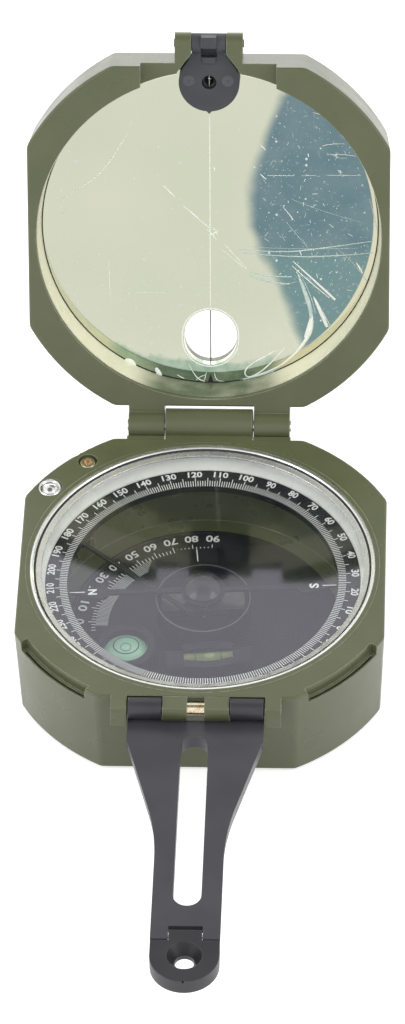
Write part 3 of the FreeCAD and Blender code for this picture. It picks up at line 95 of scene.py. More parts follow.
class Finish:
    """A node tree of a material, or of the world, with short calls for the nodes it is made of."""

    def __init__(self, name, owners=bpy.data.materials, output="OutputMaterial"):
        self.owner = owners.new(name)
        self.owner.use_nodes = True
        self.tree = self.owner.node_tree
        self.tree.nodes.clear()
        self.output = self.node(output)
        self.place = self.node("TexCoord").outputs["Object"]

    def node(self, kind, settings=None, **sockets):
        """A new node with its settings made and the sockets of these names fed."""
        made = self.tree.nodes.new("ShaderNode" + kind)
        for name, setting in (settings or {}).items():
            setattr(made, name, setting)
        for name, value in sockets.items():
            self.feed(made.inputs[name.replace("_", " ")], value)
        return made

    def feed(self, socket, value):
        """Link another node's output to a socket, or set the socket's own value."""
        if isinstance(value, bpy.types.NodeSocket):
            self.tree.links.new(value, socket)
        elif isinstance(value, tuple) and len(value) == 3 and socket.type == "RGBA":
            socket.default_value = (*value, 1)
        else:
            socket.default_value = value

    def feed_all(self, made, *values):
        """Feed a node's first sockets in their order."""
        for socket, value in zip(made.inputs, values):
            self.feed(socket, value)
        return made

    def surface(self, shader):
        self.feed(self.output.inputs["Surface"], shader.outputs[0])

    def noise(self, grain, detail=2.0, rough=0.5, place=None):
        """Even noise from 0 to 1 whose lumps are about grain millimetres across."""
        made = self.node("TexNoise", Scale=1 / (grain * MM), Detail=detail, Roughness=rough,
                         Vector=self.place if place is None else place)
        return made.outputs["Fac"]

    def range(self, value, low, high, to_low=0.0, to_high=1.0, smooth=False):
        """A value from low to high turned into one from to_low to to_high, and held beyond."""
        curve = "SMOOTHSTEP" if smooth else "LINEAR"
        made = self.node("MapRange", {"interpolation_type": curve}, Value=value, From_Min=low,
                         From_Max=high, To_Min=to_low, To_Max=to_high)
        return made.outputs["Result"]

    def math(self, operation, first, second=0.0):
        return self.feed_all(self.node("Math", {"operation": operation}), first, second).outputs[0]

    def plus(self, first, second):
        return self.math("ADD", first, second)

    def times(self, first, second):
        return self.math("MULTIPLY", first, second)

    def vector_math(self, operation, first, second):
        return self.feed_all(self.node("VectorMath", {"operation": operation}), first, second)

    def blend(self, share, first, second):
        """Two colours mixed by the share of the second."""
        made = self.node("Mix", {"data_type": "RGBA"})
        self.feed(made.inputs[MIX_SHARE], share)
        self.feed(made.inputs[MIX_FIRST], first)
        self.feed(made.inputs[MIX_SECOND], second)
        return made.outputs[MIX_RESULT]

    def wander(self, grain, low, high, detail=2, rough=0.5, place=None):
        """A value that wanders softly from low to high."""
        return self.range(self.noise(grain, detail, rough, place), 0.3, 0.7, low, high)

    def mottle(self, grain, first, second, detail=3, rough=0.5, place=None, low=0.35, high=0.65):
        """Two colours in soft lumps about grain millimetres across."""
        share = self.range(self.noise(grain, detail, rough, place), low, high)
        return self.blend(share, first, second)

    def mix_shaders(self, share, first, second):
        return self.feed_all(self.node("MixShader"), share, first.outputs[0], second.outputs[0])

    def rounded(self, width):
        """The shading normal rounded over each sharp edge."""
        return self.node("Bevel", {"samples": 6}, Radius=width * MM).outputs["Normal"]

    def edges(self, rounded):
        """A mask of the edges, where the rounded normal leaves the plain one."""
        plain = self.node("NewGeometry").outputs["Normal"]
        agreement = self.vector_math("DOT_PRODUCT", rounded, plain).outputs["Value"]
        return self.range(agreement, FLAT, SHARP)

    def bump(self, height, depth, strength, normal=None):
        made = self.node("Bump", Height=height, Distance=depth * MM, Strength=strength)
        if normal is not None:
            self.feed(made.inputs["Normal"], normal)
        return made.outputs["Normal"]

    def principled(self, **sockets):
        self.surface(self.node("BsdfPrincipled", **sockets))
        return self.owner

    def looked_at(self):
        """1 for a ray from the camera, off gloss or through glass; 0 for one that only lights."""
        ray = self.node("LightPath").outputs
        seen = self.math("MAXIMUM", ray["Is Camera Ray"], ray["Is Glossy Ray"])
        return self.math("MAXIMUM", seen, ray["Is Transmission Ray"])


def painted_casting(name, colour, second, rough, peel, worn_and_lit, wear_and_highlight_share):
    """Sprayed paint on a casting: slight mottling, orange peel and lighter edges, partly worn thin
    and partly a painted highlight.
    """
    finish = Finish(name)
    rounded = finish.rounded(0.25)
    # lighter edges: chipped wear together with a painted highlight along them
    chipped = finish.range(finish.noise(1.6, 4, 0.7), 0.36, 0.62, 0.35, 1.0)
    wear_and_highlight = finish.times(finish.times(finish.edges(rounded), chipped), wear_and_highlight_share)
    return finish.principled(
        Base_Color=finish.blend(wear_and_highlight, finish.mottle(9, colour, second, detail=2), worn_and_lit),
        Roughness=finish.wander(6, rough - 0.04, rough + 0.04),
        Specular_IOR_Level=0.5,
        Normal=finish.bump(finish.noise(1.2, 2, 0.5), 0.03, peel, rounded))


def bright_metal(name, colour, second, rough, grain=0.5, brushing=0.05):
    """Machined metal with a trace of its turning marks."""
    finish = Finish(name)
    marks = finish.noise(grain, 3, 0.6)
    return finish.principled(
        Base_Color=finish.mottle(2.5, colour, second),
        Metallic=1.0,
        Roughness=finish.range(marks, 0.3, 0.7, rough * 0.7, rough * 1.3),
        Normal=finish.bump(marks, 0.02, brushing, finish.rounded(0.2)))


def blackened_pin(name, colour, second, bright_half):
    """Brass left bright in the middle of its length and blackened beyond it."""
    finish = Finish(name)
    across = finish.node("SeparateXYZ", Vector=finish.place).outputs["X"]
    dark = finish.range(finish.math("ABSOLUTE", across), bright_half * MM, (bright_half + 0.1) * MM)
    brass = finish.mottle(0.8, colour, second, detail=4, rough=0.6, low=0.45, high=0.7)
    return finish.principled(
        Base_Color=finish.blend(dark, brass, (0.03, 0.03, 0.032)),
        Metallic=1.0,
        Roughness=finish.wander(0.5, 0.16, 0.3, detail=3),
        Normal=finish.bump(finish.noise(0.4, 3), 0.02, 0.08, finish.rounded(0.2)))


def moulded(name, colour, second, rough, grain=0.3, peel=0.1, wear_and_highlight=(0.2, 0.2, 0.2), wear_and_highlight_share=0.0,
            gloss=0.5):
    """Plastic or rubber with a fine grain and light catching its edges."""
    finish = Finish(name)
    rounded = finish.rounded(0.25)
    # lighter edges: a painted highlight where light catches them
    worn_and_lit = finish.times(finish.edges(rounded), wear_and_highlight_share)
    return finish.principled(
        Base_Color=finish.blend(worn_and_lit, finish.mottle(5, colour, second), wear_and_highlight),
        Roughness=finish.wander(3, rough - 0.06, rough + 0.06),
        Specular_IOR_Level=gloss,
        Normal=finish.bump(finish.noise(grain, 3, 0.6), 0.02, peel, rounded))


def printed(name, colour, second):
    """Printing ink, a little uneven."""
    finish = Finish(name)
    return finish.principled(
        Base_Color=finish.mottle(0.7, colour, second, rough=0.7, low=0.4, high=0.7),
        Roughness=finish.wander(2, 0.45, 0.6))


def liquid(name, deep, light):
    """Tinted spirit in a vial, with the light from its pale seat below painted into its colour."""
    finish = Finish(name)
    return finish.principled(
        Base_Color=finish.mottle(3, deep, light, detail=2),
        Roughness=finish.wander(2, 0.08, 0.14),
        Coat_Weight=0.6, Coat_Roughness=0.02)


def pane(name, tint, gloss_tint):
    """Clear flat glass: see-through, with the gloss of both its faces on the upper one."""
    finish = Finish(name)
    clear = finish.node("BsdfTransparent", Color=tint)
    gloss = finish.node("BsdfPrincipled", Base_Color=gloss_tint, Metallic=1.0, Roughness=0.06)
    face = finish.node("NewGeometry").outputs
    upward = finish.node("SeparateXYZ", Vector=face["True Normal"]).outputs["Z"]
    outer = finish.times(finish.math("SUBTRACT", 1.0, face["Backfacing"]),
                         finish.math("GREATER_THAN", upward, 0.5))
    both_faces = finish.times(finish.node("Fresnel", IOR=1.6).outputs[0], 2.0)
    shine = finish.times(finish.math("MINIMUM", both_faces, 1.0), outer)
    lamp_ray = finish.node("LightPath").outputs["Is Shadow Ray"]
    finish.surface(finish.mix_shaders(lamp_ray, finish.mix_shaders(shine, clear, gloss), clear))
    return finish.owner


def lid_place(finish):
    """Object coordinates turned into the closed lid's: X across, Y along, Z out of the mirror."""
    axis = REAR_AXIS * MM
    moved = finish.vector_math("SUBTRACT", finish.place, axis).outputs[0]
    turned = finish.node("VectorRotate", {"rotation_type": "X_AXIS"}, Vector=moved,
                         Angle=-LID_ANGLE)
    return finish.vector_math("ADD", turned.outputs[0], axis).outputs[0]


def silvered(name):
    """Silvered mirror under a film: pale, with a painted dark reflection at one side and a painted
    green reflection along its low edge.
    """
    finish = Finish(name)
    place = lid_place(finish)
    parts = finish.node("SeparateXYZ", Vector=place).outputs
    across = finish.math("DIVIDE", parts["X"], MM)
    along = finish.math("DIVIDE", parts["Y"], MM)
    tone = finish.mottle(22, (0.635, 0.665, 0.515), (0.675, 0.69, 0.55), detail=2, rough=0.4,
                         place=place, low=0.3, high=0.7)

    # the painted dark reflection, of something dark in the studio, lies right of a line that leans
    # out both towards the tip and towards the hinge
    towards_tip = finish.math("POWER", finish.math("MINIMUM", along, 0.0), 2.0)
    towards_hinge = finish.math("MAXIMUM", along, 0.0)
    leaning = finish.plus(finish.times(towards_tip, REFLECTION_TIPWARD),
                          finish.times(towards_hinge, REFLECTION_HINGEWARD))
    line = finish.math("SUBTRACT", finish.math("SUBTRACT", across, REFLECTION_EDGE), leaning)
    wavy = finish.plus(line, finish.wander(9, -0.7, 0.7, rough=0.4, place=place))
    dark_reflection_share = finish.range(wavy, -1.4, 1.9, smooth=True)
    dark_reflection = finish.mottle(6, (0.145, 0.235, 0.262), (0.185, 0.27, 0.292), place=place)
    tone = finish.blend(dark_reflection_share, tone, dark_reflection)

    # a greener fold across the painted dark reflection near the hinge, then dust and a thin veil of
    # smaller marks
    fold = finish.range(along, 3.5, 8.0, smooth=True)
    tone = finish.blend(finish.times(finish.times(fold, dark_reflection_share), 0.6), tone, (0.20, 0.33, 0.31))
    cells = finish.node("TexVoronoi", {"voronoi_dimensions": "3D"}, Vector=place,
                        Scale=1 / (1.5 * MM))
    chance = finish.node("SeparateColor", Color=cells.outputs["Color"]).outputs[0]
    size = finish.math("POWER", chance, 3.0)
    dot = finish.math("SUBTRACT", finish.times(size, 0.20), cells.outputs["Distance"])
    dust = finish.times(finish.range(dot, -0.02, 0.03), finish.range(size, 0.0, 0.6, 0.25, 1.0))
    veil = finish.range(finish.noise(0.9, 3, 0.7, place), 0.58, 0.70)
    veil = finish.times(veil, finish.plus(finish.times(fold, 0.25), 0.18))
    tone = finish.blend(finish.math("MAXIMUM", dust, veil), tone, (0.66, 0.73, 0.71))

    # the pale wall seen again in the mirror's low right edge, beyond a circle off the middle
    off_across, off_along, wall_from, wall_full = 0.9, 1.2, 33.85, 34.1
    from_middle = finish.math("SQRT", finish.plus(
        finish.math("POWER", finish.plus(across, off_across), 2.0),
        finish.math("POWER", finish.plus(along, off_along), 2.0)))
    wall_again = finish.range(from_middle, wall_from, wall_full, smooth=True)
    tone = finish.blend(wall_again, tone, (0.72, 0.70, 0.51))

    # painted green reflection of the dial glass along the lowest edge, fading away from a middle
    # left of the mirror's own
    reflection_from, bow, off_middle = 29.6, 0.0105, 3.5
    ragged = finish.wander(4, -0.8, 0.8, detail=4, rough=0.6, place=place)
    bowed = finish.times(finish.math("POWER", across, 2.0), bow)
    low_edge = finish.plus(finish.plus(finish.math("SUBTRACT", along, reflection_from), bowed), ragged)
    from_reflection_middle = finish.math("ABSOLUTE", finish.plus(across, off_middle))
    band = finish.times(finish.range(low_edge, -0.5, 0.9, smooth=True),
                        finish.range(from_reflection_middle, 14.5, 18.5, 1.0, 0.0, smooth=True))
    green_reflection = finish.mottle(2.5, (0.25, 0.39, 0.28), (0.42, 0.52, 0.40), detail=4, rough=0.6,
                           place=place)
    return finish.principled(
        Base_Color=finish.blend(finish.times(band, 0.9), tone, green_reflection),
        Metallic=1.0,
        Roughness=finish.range(finish.noise(9, 3, 0.6, place), 0.35, 0.7, 0.04, 0.08),
        Normal=finish.bump(finish.noise(6, 2, 0.5, place), 0.02, 0.03))


def satin_liner(name):
    """Pale cream wall round the mirror under the same film, with a painted green reflection at the
    middle of its lowest part.
    """
    finish = Finish(name)
    place = lid_place(finish)
    parts = finish.node("SeparateXYZ", Vector=place).outputs
    across = finish.math("ABSOLUTE", parts["X"])
    along = finish.math("DIVIDE", parts["Y"], MM)
    tone = finish.mottle(6, (0.86, 0.84, 0.62), (0.90, 0.885, 0.68), place=place)
    # painted green reflection at the lowest middle of the wall
    low = finish.times(finish.range(along, 29.0, 33.0, smooth=True),
                       finish.range(across, 9 * MM, 19 * MM, 1.0, 0.0, smooth=True))
    green_reflection = finish.times(finish.range(finish.noise(5, 2, 0.4, place), 0.25, 0.6, 0.72, 1.0), low)
    return finish.principled(
        Base_Color=finish.blend(green_reflection, tone, (0.125, 0.15, 0.085)),
        Roughness=finish.wander(2, 0.16, 0.30, detail=3, rough=0.6, place=place),
        Normal=finish.bump(finish.noise(2.2, 3, 0.6, place), 0.03, 0.12))


OLIVE = painted_casting("olive_paint", (0.097, 0.109, 0.052), (0.108, 0.120, 0.060), 0.30, 0.035,
                        worn_and_lit=(0.44, 0.45, 0.37), wear_and_highlight_share=0.85)
BLACK = painted_casting("black_paint", (0.035, 0.035, 0.043), (0.044, 0.044, 0.053), 0.36, 0.08,
                        worn_and_lit=(0.20, 0.20, 0.22), wear_and_highlight_share=0.4)
PEEP_BLACK = painted_casting("peep_black", (0.013, 0.013, 0.016), (0.018, 0.018, 0.021), 0.40, 0.05,
                             worn_and_lit=(0.20, 0.20, 0.22), wear_and_highlight_share=0.5)
SIGHT_MARK = painted_casting("sight_mark", (0.065, 0.068, 0.074), (0.080, 0.083, 0.090), 0.34, 0.05,
                             worn_and_lit=(0.22, 0.22, 0.23), wear_and_highlight_share=0.2)

CHROME = bright_metal("chrome", (0.88, 0.88, 0.87), (0.80, 0.80, 0.80), 0.10)
BEZEL = bright_metal("satin_chrome", (0.90, 0.90, 0.88), (0.86, 0.86, 0.84), 0.26, grain=4.0,
                     brushing=0.0)
STEEL = bright_metal("steel", (0.60, 0.58, 0.56), (0.50, 0.48, 0.47), 0.28)
ALUMINIUM = bright_metal("aluminium", (0.70, 0.69, 0.66), (0.62, 0.61, 0.58), 0.24)
BRASS = bright_metal("brass", (0.94, 0.78, 0.58), (0.82, 0.66, 0.46), 0.22)
BRASS_PIN = blackened_pin("brass_pin", (0.96, 0.84, 0.62), (0.68, 0.48, 0.26), bright_half=1.9)
MAGNET = bright_metal("magnet_iron", (0.16, 0.16, 0.165), (0.12, 0.12, 0.125), 0.38)

DIAL = moulded("dial_black", (0.008, 0.010, 0.010), (0.012, 0.014, 0.014), 0.50, peel=0.02,
               gloss=0.25)
RING_BLACK = moulded("ring_black", (0.008, 0.009, 0.009), (0.012, 0.013, 0.013), 0.45, peel=0.03,
                     gloss=0.3)
LEVER_BLACK = moulded("lever_black", (0.010, 0.011, 0.012), (0.016, 0.017, 0.018), 0.45, gloss=0.3,
                      wear_and_highlight=(0.10, 0.11, 0.11), wear_and_highlight_share=0.6)
SIGHT_BLACK = moulded("sight_black", (0.050, 0.054, 0.060), (0.060, 0.064, 0.070), 0.55, grain=0.6,
                      gloss=0.35, wear_and_highlight=(0.16, 0.16, 0.17), wear_and_highlight_share=0.5)
CREAM = moulded("cream_plastic", (0.80, 0.80, 0.755), (0.84, 0.84, 0.80), 0.30, peel=0.03)
RUBBER = moulded("gasket_rubber", (0.018, 0.018, 0.018), (0.026, 0.026, 0.026), 0.55)
SMOKED = moulded("smoked_plastic", (0.006, 0.007, 0.008), (0.010, 0.011, 0.012), 0.10, peel=0.01,
                 gloss=0.35)
JEWEL = moulded("jewel_red", (0.24, 0.10, 0.09), (0.30, 0.13, 0.11), 0.10)

WHITE_INK = printed("white_ink", (0.90, 0.90, 0.88), (0.82, 0.82, 0.80))
GREY_INK = printed("grey_ink", (0.075, 0.075, 0.085), (0.10, 0.10, 0.11))
TICK_INK = printed("tick_ink", (0.74, 0.74, 0.72), (0.66, 0.66, 0.64))
BLACK_INK = printed("black_ink", (0.012, 0.014, 0.013), (0.02, 0.022, 0.02))
LINE_PAINT = printed("line_paint", (0.90, 0.90, 0.80), (0.84, 0.84, 0.74))
FILM = printed("film_crease", (0.94, 0.96, 0.90), (0.84, 0.89, 0.83))
FAINT_FILM = printed("film_wrinkle", (0.52, 0.64, 0.60), (0.66, 0.76, 0.71))

LINER = satin_liner("mirror_liner")
MIRROR = silvered("silvered_mirror")
GLASS = pane("cover_glass", (0.975, 0.985, 0.98), (0.90, 0.88, 1.0))
GREEN_SPIRIT = liquid("green_spirit", (0.25, 0.48, 0.33), (0.31, 0.56, 0.40))
YELLOW_SPIRIT = liquid("yellow_spirit", (0.13, 0.17, 0.055), (0.18, 0.22, 0.085))
BUBBLE = liquid("bubble", (0.22, 0.26, 0.11), (0.28, 0.32, 0.16))

NODE_FINISH = {
    OLIVE: ["base_case", "lid_shell"],
    BLACK: ["sight_arm", "sight_pin"],
    PEEP_BLACK: ["peep_leaf"],
    SIGHT_BLACK: ["front_sight"],
    LEVER_BLACK: ["lock_lever", "lift_ring"],
    BEZEL: ["bezel_ring"],
    CHROME: ["rear_hinge_pin", "peep_pin", "lock_button", "lock_pin_sleeve"],
    STEEL: ["lock_spring", "lock_lever_pin", "azimuth_screw", "lever_screw", "needle_pivot",
            "sight_hair"],
    ALUMINIUM: ["friction_washer"],
    BRASS: ["brass_set_screw", "shaft_bush", "screw_bush", "azimuth_pinion", "clinometer_shaft"],
    BRASS_PIN: ["front_hinge_pin"],
    MAGNET: ["needle_magnet"],
    LINER: ["mirror_ring"],
    MIRROR: ["mirror"],
    DIAL: ["dial_plate", "clinometer_arm", "level_housing", "needle_bar", "round_level_housing",
           "clinometer_lever"],
    RING_BLACK: ["azimuth_ring"],
    CREAM: ["reflector_ring"],
    RUBBER: ["glass_gasket"],
    SMOKED: ["needle_cap", "damping_cup"],
    JEWEL: ["needle_jewel"],
    GLASS: ["cover_glass"],
    GREEN_SPIRIT: ["round_level_vial"],
    YELLOW_SPIRIT: ["tube_level_vial"],
}
for coating, names in NODE_FINISH.items():
    for node_name in names:
        NODES[node_name].material_slots[0].material = coating


# ---------------------------------------------------------------- making pieces

def finish_piece(name, work, body, material, place=None, smooth=False):
    """Turn a bmesh into a piece of the object that rides on a body."""
    if place is not None:
        work.transform(place)
    bmesh.ops.transform(work, matrix=Matrix.Scale(MM, 4), verts=work.verts)
    mesh = bpy.data.meshes.new(name)
    work.to_mesh(mesh)
    work.free()
    for face in mesh.polygons:
        face.use_smooth = smooth
    piece = bpy.data.objects.new(name, mesh)
    SCENE.collection.objects.link(piece)
    mesh.materials.append(material)
    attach(piece, body)
    return piece


def spun_section(work, section, start=0.0, sweep=360.0, steps=96):
    """A section of (radius, height) corners turned round Z, wholly or through part of a turn."""
    corners = [work.verts.new((radius, 0, height)) for radius, height in section]
    face = work.faces.new(corners)
    turn = Matrix.Rotation(math.radians(start), 4, "Z")
    bmesh.ops.transform(work, matrix=turn, verts=corners)
    whole = sweep >= 360
    geometry = [face, *face.edges, *corners]
    bmesh.ops.spin(work, geom=geometry, cent=(0, 0, 0), axis=(0, 0, 1), angle=math.radians(sweep),
                   steps=steps, use_merge=whole)
    if whole:
        sections = [item for item in work.faces if is_section(item)]
        bmesh.ops.delete(work, geom=sections, context="FACES_ONLY")
    bmesh.ops.remove_doubles(work, verts=work.verts, dist=1e-5)
    bmesh.ops.recalc_face_normals(work, faces=work.faces)


def is_section(face):
    """Whether a face is a cross-section of a spun ring: its normal runs round the ring."""
    middle = face.calc_center_median()
    around = Vector((-middle.y, middle.x, 0)).normalized()
    return abs(face.normal.dot(around)) > 0.99


def spun_ring(work, inner, outer, low, high, start=0.0, sweep=360.0, steps=96):
    """A flat bar bent round Z, whole or through part of a turn; the angles are in degrees."""
    section = ((inner, low), (outer, low), (outer, high), (inner, high))
    spun_section(work, section, start, sweep, steps)


def bar_at(work, inner, outer, azimuth, level, width):
    """A straight radial bar of print between two radii."""
    place = (Matrix.Rotation(math.radians(azimuth), 4, "Z")
             @ Matrix.Translation(((inner + outer) / 2, 0, level + PRINT / 2))
             @ Matrix.Diagonal((outer - inner, width, PRINT, 1)))
    bmesh.ops.create_cube(work, size=1, matrix=place)


def block(work, middle, size, turn=0.0):
    """A box turned about its own upright axis."""
    place = (Matrix.Translation(middle) @ Matrix.Rotation(turn, 4, "Z")
             @ Matrix.Diagonal((*size, 1)))
    bmesh.ops.create_cube(work, size=1, matrix=place)


def rod(work, middle, turn, radius, length, segments):
    """A round bar, turned out of the upright."""
    bmesh.ops.create_cone(work, cap_ends=True, segments=segments, radius1=radius, radius2=radius,
                          depth=length, matrix=Matrix.Translation(middle) @ turn)


def soften(work, edges, radius):
    """Round edges over in two steps."""
    bmesh.ops.bevel(work, geom=edges, offset=radius, segments=2, profile=0.5, affect="EDGES",
                    material=-1)


def take_mesh(work, mesh):
    """Add a mesh to a bmesh and let go of the mesh."""
    work.from_mesh(mesh)
    bpy.data.meshes.remove(mesh)


def curve_mesh(curve):
    """The mesh of a curve; the curve is let go of."""
    carrier = bpy.data.objects.new(curve.name, curve)
    mesh = bpy.data.meshes.new_from_object(carrier)
    bpy.data.objects.remove(carrier)
    bpy.data.curves.remove(curve)
    return mesh


def copied_node(name, place):
    """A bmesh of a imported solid, joined up and in millimetres, with its place undone."""
    work = bmesh.new()
    work.from_mesh(NODES[name].data)
    bmesh.ops.transform(work, matrix=place.inverted() @ Matrix.Scale(1 / MM, 4), verts=work.verts)
    bmesh.ops.remove_doubles(work, verts=work.verts, dist=1e-4)
    return work


def figure(work, text, place, height, width, weight):
    """Add a flat figure, centred on its place, to a bmesh; the weight thickens its strokes."""
    curve = bpy.data.curves.new("figure", "FONT")
    curve.body = text
    curve.size = height * FIGURE_SIZE
    curve.align_x = "CENTER"
    curve.extrude = PRINT / 2
    curve.offset = weight
    curve.resolution_u = 3
    mesh = curve_mesh(curve)
    corners = [vertex.co for vertex in mesh.vertices]
    low = Vector([min(corner[axis] for corner in corners) for axis in range(3)])
    high = Vector([max(corner[axis] for corner in corners) for axis in range(3)])
    fitted = Matrix.Diagonal((width / (high.x - low.x), height / (high.y - low.y), 1, 1))
    centred = fitted @ Matrix.Translation(-(low + high) / 2)
    mesh.transform(place @ Matrix.Translation((0, 0, PRINT / 2)) @ centred)
    take_mesh(work, mesh)


def on_circle(radius, azimuth, level, outward=True):
    """Where a figure stands on a circle about Z, its top away from the middle or towards it."""
    turned = math.radians(azimuth - 90 if outward else azimuth + 90)
    angle = math.radians(azimuth)
    return (Matrix.Translation((radius * math.cos(angle), radius * math.sin(angle), level))
            @ Matrix.Rotation(turned, 4, "Z"))


# ---------------------------------------------------------------- dial

def dial_surround():
    """White ring whose sloping face throws light on the dial, and a black ring on the bezel's top, a
    painted dark reflection.
    """
    slope = ((31.5, 16.7), (33.7, 16.7), (33.7, 18.88), (33.3, 18.88), (31.75, 16.95),
             (31.5, 16.95))
    reflection_line = ((33.25, 20.47), (33.62, 20.78), (33.60, 20.83), (33.22, 20.53))
    ring = bmesh.new()
    spun_section(ring, slope, steps=144)
    piece = finish_piece("sloped_reflector", ring, "base", CREAM)
    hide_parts("reflector_ring")
    ring = bmesh.new()
    # the black ring is a painted dark reflection on the bezel's top
    spun_section(ring, reflection_line, steps=144)
    finish_piece("bezel_reflection_line", ring, "base", RUBBER)


def azimuth_scale():
    """Degree ticks and the numbers every ten degrees on the ring that the screw turns."""
    tick_from, tick_to, long_to, number_radius = 27.1, 28.65, 29.5, 30.5
    ticks = bmesh.new()
    for degree in range(360):
        bar_at(ticks, tick_from, tick_to, degree + AZIMUTH_ZERO, RING_TOP, width=0.145)
        if degree % 5 == 0:
            bar_at(ticks, tick_to, long_to, degree + AZIMUTH_ZERO, RING_TOP, width=0.15)
    finish_piece("azimuth_ticks", ticks, "azimuth_ring", WHITE_INK)
    numbers = bmesh.new()
    for degree in range(0, 360, 10):
        text = str(degree)
        figure(numbers, text, on_circle(number_radius, degree + AZIMUTH_ZERO, RING_TOP),
               height=1.6, width=0.95 * len(text) + 0.1, weight=0.06)
    finish_piece("azimuth_numbers", numbers, "azimuth_ring", WHITE_INK)


def clinometer_scale():
    """Quarter scale on the dial floor, ticked every two degrees, with a hatched wedge inside it."""
    band_from, tick_from, tick_to, long_to, number_radius = 19.35, 21.8, 22.7, 23.4, 25.1
    zero = CLINOMETER_ZERO
    ticks = bmesh.new()
    for degree in range(-6, 91, 2):
        outer = tick_to if degree % 10 else long_to
        bar_at(ticks, tick_from, outer, zero - degree, DIAL_FLOOR + PRINT, width=0.17)
    finish_piece("clinometer_ticks", ticks, "base", WHITE_INK)
    arc = bmesh.new()
    spun_ring(arc, 26.72, 26.83, DIAL_FLOOR, DIAL_FLOOR + PRINT, start=88, sweep=92, steps=60)
    finish_piece("clinometer_arc", arc, "base", GREY_INK)
    numbers = bmesh.new()
    for degree in range(0, 100, 10):
        text = str(degree)
        figure(numbers, text, on_circle(number_radius, zero - degree, DIAL_FLOOR, outward=False),
               height=1.85, width=1.4 * len(text), weight=0.05)
    finish_piece("clinometer_numbers", numbers, "base", WHITE_INK)
    band = bmesh.new()
    spun_ring(band, band_from, tick_from, DIAL_FLOOR, DIAL_FLOOR + PRINT / 2, start=zero - 50,
              sweep=53, steps=40)
    finish_piece("clinometer_band", band, "base", GREY_INK)
    taper_from, taper = 50, 0.35
    hatch = bmesh.new()
    for step in range(-2, 58):
        inner = band_from + max(step - taper_from, 0) * taper
        bar_at(hatch, inner, tick_from, zero - step, DIAL_FLOOR + PRINT / 2, width=0.11)
    finish_piece("clinometer_hatching", hatch, "base", TICK_INK)


def index_line():
    """White line on the clinometer's arm."""
    line = bmesh.new()
    bar_at(line, 17.2, 20.7, 90, ARM_TOP, width=0.2)
    finish_piece("clinometer_index_line", line, "clinometer", WHITE_INK,
                 CLINOMETER_PLACE)


def index_arm():
    """The clinometer's arm, cut off just past its line so that the scale beyond it shows."""
    work = copied_node("clinometer_arm", Matrix())
    outward = CLINOMETER_PLACE @ Vector((0, 1, 0))
    cut = bmesh.ops.bisect_plane(work, geom=[*work.verts, *work.edges, *work.faces], dist=1e-5,
                                 plane_co=outward * ARM_REACH, plane_no=outward, clear_outer=True)
    rim = [item for item in cut["geom_cut"] if isinstance(item, bmesh.types.BMEdge)]
    bmesh.ops.holes_fill(work, edges=rim, sides=0)
    bmesh.ops.recalc_face_normals(work, faces=work.faces)
    piece = finish_piece("index_arm", work, "clinometer", DIAL)
    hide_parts("clinometer_arm")


def slim_lever():
    """The lock's lever with its bar narrowed to a strip, as pressed from sheet."""
    bar_from, bar_half, slimming = -4.3, 1.2, 0.36
    work = copied_node("lock_lever", LEVER_PLACE)
    for corner in work.verts:
        if corner.co.x > bar_from and abs(corner.co.y) < bar_half:
            corner.co.y *= slimming
    bmesh.ops.recalc_face_normals(work, faces=work.faces)
    piece = finish_piece("slim_lever", work, "lock_lever", LEVER_BLACK, LEVER_PLACE)
    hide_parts("lock_lever")


def cup_rim():
    """Pale line round the damping cup's rim, a painted highlight on its edge."""
    line = bmesh.new()
    spun_ring(line, 9.28, 9.5, 11.70, 11.74)
    finish_piece("cup_rim_highlight", line, "clinometer", GREY_INK)


def needle_marks():
    """N and S on the needle's round pads, with a line to each tip."""
    marks = bmesh.new()
    bar_at(marks, 23.9, 26.7, 0, NEEDLE_TOP, width=0.22)
    bar_at(marks, 23.6, 26.7, 180, NEEDLE_TOP, width=0.22)
    figure(marks, "S", on_circle(22.2, 0, NEEDLE_TOP, outward=False), height=1.9, width=1.3,
           weight=0.08)
    figure(marks, "N", on_circle(22.1, 180, NEEDLE_TOP, outward=False), height=1.8, width=1.5,
           weight=0.08)
    finish_piece("needle_marks", marks, "needle", WHITE_INK, NEEDLE_PLACE)


# ---------------------------------------------------------------- levels

def round_level_marks():
    """Black centring circle that follows the bull's-eye vial's dome, and the rim of its bubble."""
    for name, ring, aside in (("round_level_circle", (2.42, 2.62), 0.7),
                              ("round_level_bubble", (0.98, 1.10), -0.15)):
        mark = bmesh.new()
        spun_ring(mark, *ring, 0, 0.06, steps=48)
        for corner in mark.verts:
            from_top = corner.co.x ** 2 + (corner.co.y + aside) ** 2
            corner.co.z += DOME_TOP - from_top / (2 * DOME_RADIUS)
        finish_piece(name, mark, "base", BLACK_INK,
                     Matrix.Translation((ROUND_LEVEL[0], aside + ROUND_LEVEL[1], 0)))


